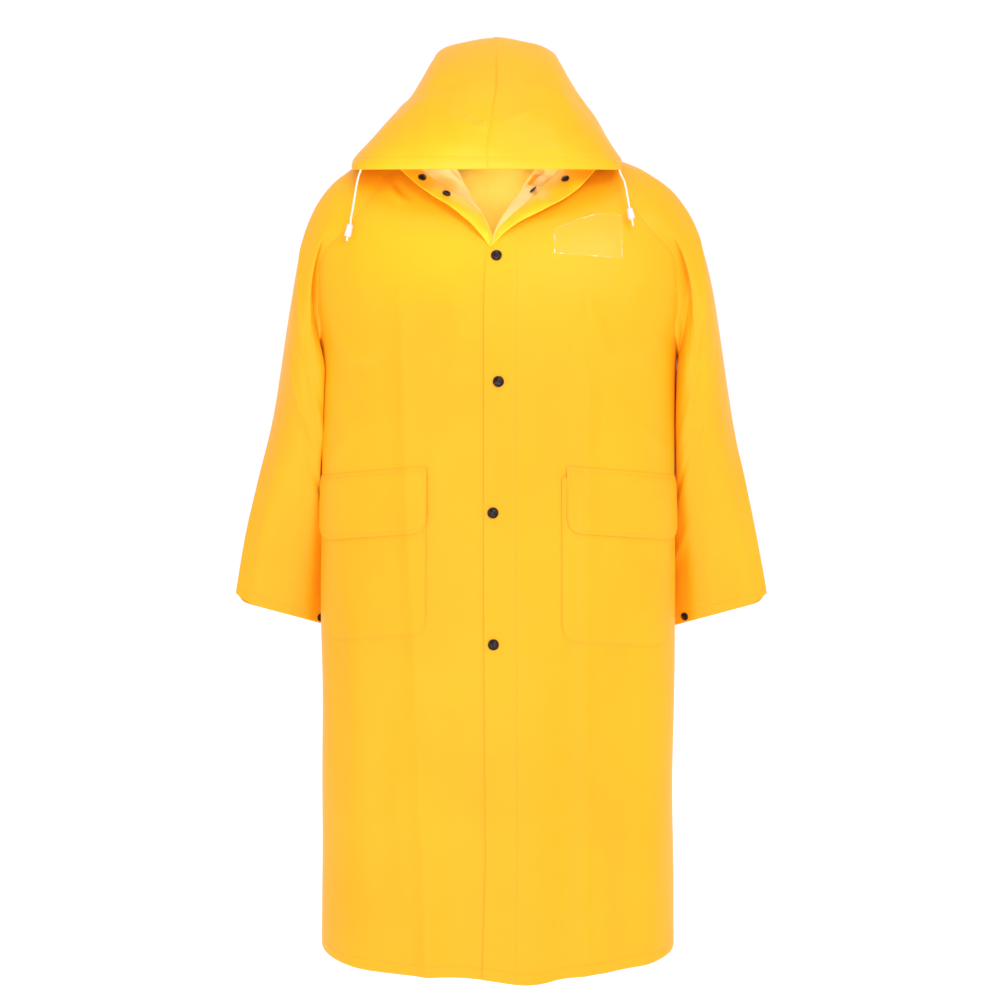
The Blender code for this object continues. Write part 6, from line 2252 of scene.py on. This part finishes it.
@dataclass
class ClearPocket(Piece):
    """The clear chest pocket: sewn round three sides, slack and wavy along its top."""

    front: Front | None = None
    x_ends: Pair = (0.0805, 0.1790)
    foot_z: Pair = (-0.1115, -0.1173)
    top: tuple[float, ...] = (-0.0745, -0.0655, -0.0570, -0.0510, -0.0540)  # its heights across
    wall: float = 0.0004
    gape: float = 0.0040
    ripple: float = 0.0011
    stand_off: float = 0.0016

    def build(self) -> None:
        """Makes the pocket."""
        across = np.linspace(0, 1, 48)
        down = np.linspace(0, 1, 32)[:, None]
        x = np.broadcast_to(self.x_ends[0] + (self.x_ends[1] - self.x_ends[0]) * across, (32, 48))
        foot = self.foot_z[0] + (self.foot_z[1] - self.foot_z[0]) * across
        top = smooth(self.top, across * (len(self.top) - 1))
        z = top + (foot - top) * down
        gape = self.gape * np.sin(HALF_TURN * across) ** 2 * (1 - down) ** 1.5
        ripple = self.ripple * np.sin(across * 21 + 1) * (1 - down) ** 2
        points, facing = self.front.on(x, z, self.stand_off + gape + ripple)
        film = Cloth.over(points, facing)
        film.sewn = [(Edge.START, 0.0), (Edge.END, 0.0), (Edge.FOOT, 0.0), (Edge.TOP, 0.0)]
        obj = film.make("clear_pocket", self.finishes.vinyl, self.finishes.vinyl, self.wall)
        self.put(obj, ("id_pocket",), "clear_vinyl")


# ================================================================ cords and toggles
CORD_ROUTES = {
    Side.RIGHT: (
        (-0.1985, -0.1092, 0.0136),
        (-0.2018, -0.1100, 0.0040),
        (-0.2045, -0.1115, -0.0083),
        (-0.2067, -0.1132, -0.0225),
        (-0.2098, -0.1155, -0.0426),
        (-0.2122, -0.1175, -0.0570),
        (-0.2131, -0.1190, -0.0670),
        (-0.2152, -0.1195, -0.0760),
        (-0.2173, -0.1200, -0.0846),
        (-0.2180, -0.1200, -0.0911),
    ),
    Side.LEFT: (
        (0.1764, -0.0990, 0.0152),
        (0.1794, -0.1028, 0.0060),
        (0.1826, -0.1075, -0.0015),
        (0.1851, -0.1120, -0.0120),
        (0.1869, -0.1150, -0.0239),
        (0.1886, -0.1180, -0.0340),
        (0.1900, -0.1205, -0.0440),
        (0.1914, -0.1220, -0.0515),
        (0.1930, -0.1230, -0.0593),
        (0.1952, -0.1235, -0.0698),
    ),
}


def turned(name: str, rings: Array, finish: Material, looped: bool) -> Any:
    """A body made of rings of points, in order along it.

    Args:
        name: Its name.
        rings: The rings.
        finish: Its material.
        looped: Whether the last ring meets the first, as on a bored bell; otherwise its ends are capped.

    Returns:
        The object.
    """
    model = bmesh.new()
    loops = [[model.verts.new(point) for point in ring] for ring in rings]
    count = len(loops[0])
    pairs = list(zip(loops, loops[1:] + loops[:1])) if looped else list(zip(loops, loops[1:]))
    span = model.loops.layers.uv.new("cloth")
    along = np.append(walked(rings.mean(axis=1), 0), 0.0)
    width = float(np.linalg.norm(rings[len(rings) // 2][1] - rings[len(rings) // 2][0]))
    for number, (lower, upper) in enumerate(pairs):
        for k in range(count):
            n = (k + 1) % count
            face = model.faces.new((lower[k], lower[n], upper[n], upper[k]))
            places = ((k, number), (k + 1, number), (k + 1, number + 1), (k, number + 1))
            for corner, (turn, step) in zip(face.loops, places):
                corner[span].uv = (turn * width, along[step])
    if not looped:
        model.faces.new(loops[0])
        model.faces.new(loops[-1])
    bmesh.ops.recalc_face_normals(model, faces=model.faces)
    mesh = bpy.data.meshes.new(name)
    model.to_mesh(mesh)
    model.free()
    mesh.materials.append(finish)
    mesh.shade_smooth()
    mesh.set_sharp_from_angle(angle=math.radians(45))
    obj = bpy.data.objects.new(name, mesh)
    bpy.context.scene.collection.objects.link(obj)
    return obj


@dataclass
class Drawcord:
    """One free end of the hood's drawcord, with its bell toggle."""

    finishes: Finishes
    side: Side
    diameter: float = 0.0028
    around: int = 16
    ring_step: float = 0.0012
    path_step: float = 0.004
    end_shares: Pair = (0.34, 0.46)  # its ends are rounded off: the last radii as shares of its diameter
    play: float = 0.0002  # between the cord and the toggle's bore
    toggle_from: int = 6
    toggle_to: int = 8
    bell: Table = ((0.00, 0.0034), (0.04, 0.0040), (0.12, 0.0043), (0.50, 0.0046), (0.84, 0.0049))
    bell_foot: Table = ((0.93, 0.0049), (0.98, 0.0047), (1.00, 0.0042))
    bell_mouth: float = 0.0036

    def route(self, step: float) -> Array:
        """Points along the cord, evenly spaced.

        Args:
            step: The distance between them.

        Returns:
            The points.
        """
        points = np.array(CORD_ROUTES[self.side])
        places = np.linspace(0, len(points) - 1, 600)
        fine = np.stack([smooth(points[:, k], places) for k in range(3)], axis=-1)
        along = walked(fine, 0)
        wanted = np.linspace(0, along[-1], round(float(along[-1]) / step) + 1)
        return np.stack([np.interp(wanted, along, fine[:, k]) for k in range(3)], axis=-1)

    def rings_along(self, route: Array, radii: Array) -> Array:
        """Rings of points across a route.

        Args:
            route: The route's points.
            radii: A radius for each one.

        Returns:
            The rings.
        """
        tangents = unit(np.gradient(route, axis=0))
        side = unit(np.cross(tangents, np.array([0.0, 1.0, 0.1])))
        up = np.cross(side, tangents)
        turns = np.linspace(0, 2 * math.pi, self.around, endpoint=False)
        rings = []
        for point, radius, s, u in zip(route, radii, side, up):
            rings.append(point + radius * (np.cos(turns)[:, None] * s + np.sin(turns)[:, None] * u))
        return np.array(rings)

    def build(self) -> tuple[Any, Any]:
        """Returns:
            The cord and the toggle.
        """
        route = self.route(self.ring_step)
        radii = np.full(len(route), self.diameter / 2)
        radii[0] = radii[-1] = self.diameter * self.end_shares[0]
        radii[1] = radii[-2] = self.diameter * self.end_shares[1]
        word = self.side.word
        cord = turned(f"cord_{word}_end", self.rings_along(route, radii), self.finishes.cord, False)
        points = np.array(CORD_ROUTES[self.side])
        top, foot = points[self.toggle_from], points[self.toggle_to]
        profile = self.bell + self.bell_foot
        line = np.array([top + (foot - top) * share for share, _ in profile])
        outer = self.rings_on(line, foot - top, [radius for _, radius in profile])
        bore = self.diameter / 2 + self.play
        core = np.array([foot, foot - (foot - top) * 0.02, top])
        inner = self.rings_on(core, foot - top, [self.bell_mouth, bore, bore])
        toggle = turned(f"toggle_{word}_bell", np.concatenate([outer, inner]), self.finishes.toggle, True)
        pieces = ((cord, f"cord_{word}", "white_cord"), (toggle, f"toggle_{word}", "white_plastic"))
        for obj, node, slot in pieces:
            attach(obj, "root")
            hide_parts(node)
        return cord, toggle

    def rings_on(self, line: Array, axis: Array, radii: list[float]) -> Array:
        """Rings of points square to an axis.

        Args:
            line: The rings' centres.
            axis: The axis.
            radii: A radius for each ring.

        Returns:
            The rings.
        """
        turn = Vector(axis).to_track_quat("Z", "Y")
        side, up = (np.array(turn @ Vector(v)) for v in ((1, 0, 0), (0, 1, 0)))
        turns = np.linspace(0, 2 * math.pi, self.around * 2, endpoint=False)
        circle = np.cos(turns)[:, None] * side + np.sin(turns)[:, None] * up
        return np.array([point + radius * circle for point, radius in zip(line, radii)])


# ================================================================ snaps
@dataclass
class Snaps(Piece):
    """All the coat's snap caps: those of the closed front, of the turned-open tops and of the cuffs."""

    tops: dict[Side, OpenTop] = field(default_factory=dict)
    front: Front | None = None
    cuffs: list[tuple[Array, Array]] = field(default_factory=list)
    large: float = 0.0160
    small: float = 0.0124
    closed: Table = ((-0.0021, -0.1153), (0.0007, -0.2960), (-0.0071, -0.4835), (-0.0064, -0.6718))
    turned_open: tuple[tuple[Side, float, float], ...] = (
        (Side.RIGHT, 0.845, 0.77),
        (Side.LEFT, 0.850, 0.645),
    )
    socket: tuple[Side, float, float] = (Side.RIGHT, 0.620, 0.60)  # the hollow half of a snap
    socket_dome: float = 0.03
    socket_rim: float = 0.13
    edge_on: tuple[Side, float, float] = (Side.LEFT, 0.650, 0.25)  # pulled up where the roll is sharp
    edge_on_facing: tuple[float, float, float] = (-0.66, -0.18, 0.73)
    edge_on_shift: tuple[float, float, float] = (0.0, -0.6, 0.0)  # in half diameters
    facing_step: float = 0.02  # the span over which the cloth's direction is taken, as a share of the top

    def build(self) -> None:
        """Makes the caps."""
        caps = SnapCaps(self.large)
        for x, z in self.closed:
            point, facing = self.front.on(x, z, 0.0)
            caps.put(point, facing)
        nodes = tuple(f"snap_front_{k}" for k in (1, 2, 3, 4))
        self.put(caps.make("front_snaps", self.finishes.snap), nodes, "snap_metal")
        caps = SnapCaps(self.small)
        for place in self.turned_open:
            caps.put(*self.on_top(*place))
        point, _ = self.on_top(*self.edge_on)
        caps.put(point + self.small / 2 * np.array(self.edge_on_shift), unit(np.array(self.edge_on_facing)))
        for point, facing in self.cuffs:
            caps.put(point, facing)
        nodes = ("snap_neck_1", "snap_neck_3", "snap_neck_4", "snap_cuff_right", "snap_cuff_left")
        self.put(caps.make("small_snaps", self.finishes.snap), nodes, "snap_metal")
        caps = SnapCaps(self.small, self.socket_dome, self.socket_rim)
        caps.put(*self.on_top(*self.socket))
        self.put(caps.make("neck_socket", self.finishes.snap), ("snap_neck_2",), "snap_metal")

    def on_top(self, side: Side, up: float, across: float) -> tuple[Array, Array]:
        """Finds a place on a turned-open top.

        Args:
            side: The top's side.
            up: The share of the way from its foot to the neck.
            across: The share of the way from its roll to its free edge.

        Returns:
            The point, and the way that the cloth faces there.
        """
        top = self.tops[side]
        faced = across > 1 - float(top.value("facing_share", up))
        lift = top.facing_lift if faced else 0.0
        step = self.facing_step
        point = top.point(up, across, lift)
        along = top.point(up + step, across, lift) - top.point(up - step, across, lift)
        aside = top.point(up, across + step, lift) - point
        facing = unit(np.cross(along, aside))
        return point, facing * (1 if facing[1] < 0 else -1)


# ================================================================ studio
@dataclass(frozen=True)
class Lamp:
    """A soft rectangular lamp: its place, its aim, its width and height, its watts and its spread."""

    name: str
    place: tuple[float, float, float]
    target: tuple[float, float, float]
    size: Pair
    watts: float
    spread: float = 180.0


LAMPS = (
    Lamp("key", (1.3, -3.3, 1.5), (0.0, 0.0, -0.45), (1.5, 1.5), 42.0),
    Lamp("fill", (-1.0, -3.4, -0.9), (0.0, 0.0, -0.20), (2.4, 1.6), 18.0),
    Lamp("top", (0.0, -0.9, 2.2), (0.0, 0.0, 0.1), (1.4, 0.9), 10.0),
    # the light that the thin hood lets through, and two low reflectors
    Lamp("inside", (0.0, -0.010, 0.110), (0.0, 0.095, -0.02), (0.15, 0.08), 0.43),
    Lamp("neck_right", (-0.12, -0.95, -0.45), (-0.098, -0.10, -0.008), (0.2, 0.1), 0.06, 20.0),
    Lamp("neck_left", (0.12, -0.95, -0.45), (0.085, -0.10, -0.012), (0.2, 0.1), 0.04, 20.0),
)


@dataclass
class Studio:
    """A white room: a surround that is brighter behind the coat, the lamps and the camera."""

    camera_place: tuple[float, float, float] = (0.003, -3.2, -0.465)
    lens: float = 76.8
    sensor: float = 36.0
    floor_z: float = -1.62
    floor_reach: float = 30.0
    front_light: float = 0.64
    back_light: float = 1.02
    turn: Pair = (-0.3, 0.6)  # where one light turns to the other, as a share of the way back

    def camera(self) -> None:
        """Sets the camera level in front of the coat."""
        lens = bpy.data.cameras.new("camera")
        lens.lens, lens.sensor_width = self.lens, self.sensor
        camera = bpy.data.objects.new("camera", lens)
        camera.location = self.camera_place
        camera.rotation_euler = (QUARTER_TURN, 0.0, 0.0)
        bpy.context.scene.collection.objects.link(camera)
        bpy.context.scene.camera = camera

    def light(self, lamp: Lamp) -> None:
        """Adds a soft area light.

        Args:
            lamp: The light's numbers.
        """
        light = bpy.data.lights.new(lamp.name, "AREA")
        light.shape, light.size, light.size_y, light.energy = "RECTANGLE", *lamp.size, lamp.watts
        light.spread = math.radians(lamp.spread)
        obj = bpy.data.objects.new(lamp.name, light)
        obj.location = lamp.place
        obj.rotation_euler = (Vector(lamp.target) - Vector(lamp.place)).to_track_quat("-Z", "Y").to_euler()
        bpy.context.scene.collection.objects.link(obj)

    def surround(self) -> None:
        """Lights the whole room, more from behind the coat than from in front of it."""
        world = bpy.data.worlds.new("surround")
        world.use_nodes = True
        tree = world.node_tree
        way = add(tree, "ShaderNodeTexCoord").outputs["Generated"]
        parts = add(tree, "ShaderNodeSeparateXYZ", {0: way})
        span = {"From Min": self.turn[0], "From Max": self.turn[1]}
        span |= {"To Min": self.front_light, "To Max": self.back_light}
        bright = add(tree, "ShaderNodeMapRange", {"Value": parts.outputs["Y"], **span})
        tree.links.new(bright.outputs[0], tree.nodes["Background"].inputs["Strength"])
        tree.nodes["Background"].inputs["Color"].default_value = (1.0, 1.0, 1.0, 1.0)
        bpy.context.scene.world = world

    def room(self) -> None:
        """Builds the floor, the surround and the lights."""
        paper = StudioPaper("seamless_paper", "#fdfdfd", "#ffffff", 0.9).build()
        mesh = bpy.data.meshes.new("floor")
        reach, low = self.floor_reach, self.floor_z
        corners = [(-reach, -reach, low), (reach, -reach, low), (reach, reach, low), (-reach, reach, low)]
        mesh.from_pydata(corners, [], [(0, 1, 2, 3)])
        mesh.materials.append(paper)
        floor = bpy.data.objects.new("floor", mesh)
        bpy.context.scene.collection.objects.link(floor)
        self.surround()
        for lamp in LAMPS:
            self.light(lamp)
        bpy.context.scene.view_settings.view_transform = "Standard"


def main() -> None:
    """Builds the studio, then the coat piece by piece."""
    logging.basicConfig(level=logging.INFO, format="%(name)s: %(message)s")
    studio = Studio()
    studio.camera()
    finishes = Finishes()
    for side in Side:
        Drawcord(finishes, side).build()
    hull, sewing = Hull(), Sewing()
    parts = (hull, finishes, sewing)
    Back(*parts).build()
    fronts = {side: Front(*parts, side=side) for side in Side}
    tops = {side: OpenTop(*parts, side=side) for side in Side}
    cuffs = []
    for side in Side:
        fronts[side].build()
        tops[side].build()
    cuffs.append(Sleeve(*parts, side=Side.RIGHT, shoulder_slope=0.20, snap_turn=124.0).build())
    cuffs.append(Sleeve(*parts, side=Side.LEFT).build())
    Hood(*parts, side=Side.RIGHT, side_raise=0.0092, shoulder_rise=0.0190).build()
    Hood(*parts, side=Side.LEFT).build()
    NeckTab(*parts, side=Side.LEFT).build()
    Pocket(*parts, front=fronts[Side.RIGHT], flap_inner_x=0.1015).build()
    Pocket(*parts, front=fronts[Side.LEFT], inner_x=0.0915, foot_z=-0.668).build()
    ClearPocket(*parts, front=fronts[Side.LEFT]).build()
    Snaps(*parts, tops=tops, front=fronts[Side.LEFT], cuffs=cuffs).build()
    stitches = sewing.make(finishes.thread)
    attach(stitches, "root")
    LOG.info("stitches: %d faces", len(stitches.data.polygons))
    studio.room()


if __name__ == "__main__":
    main()
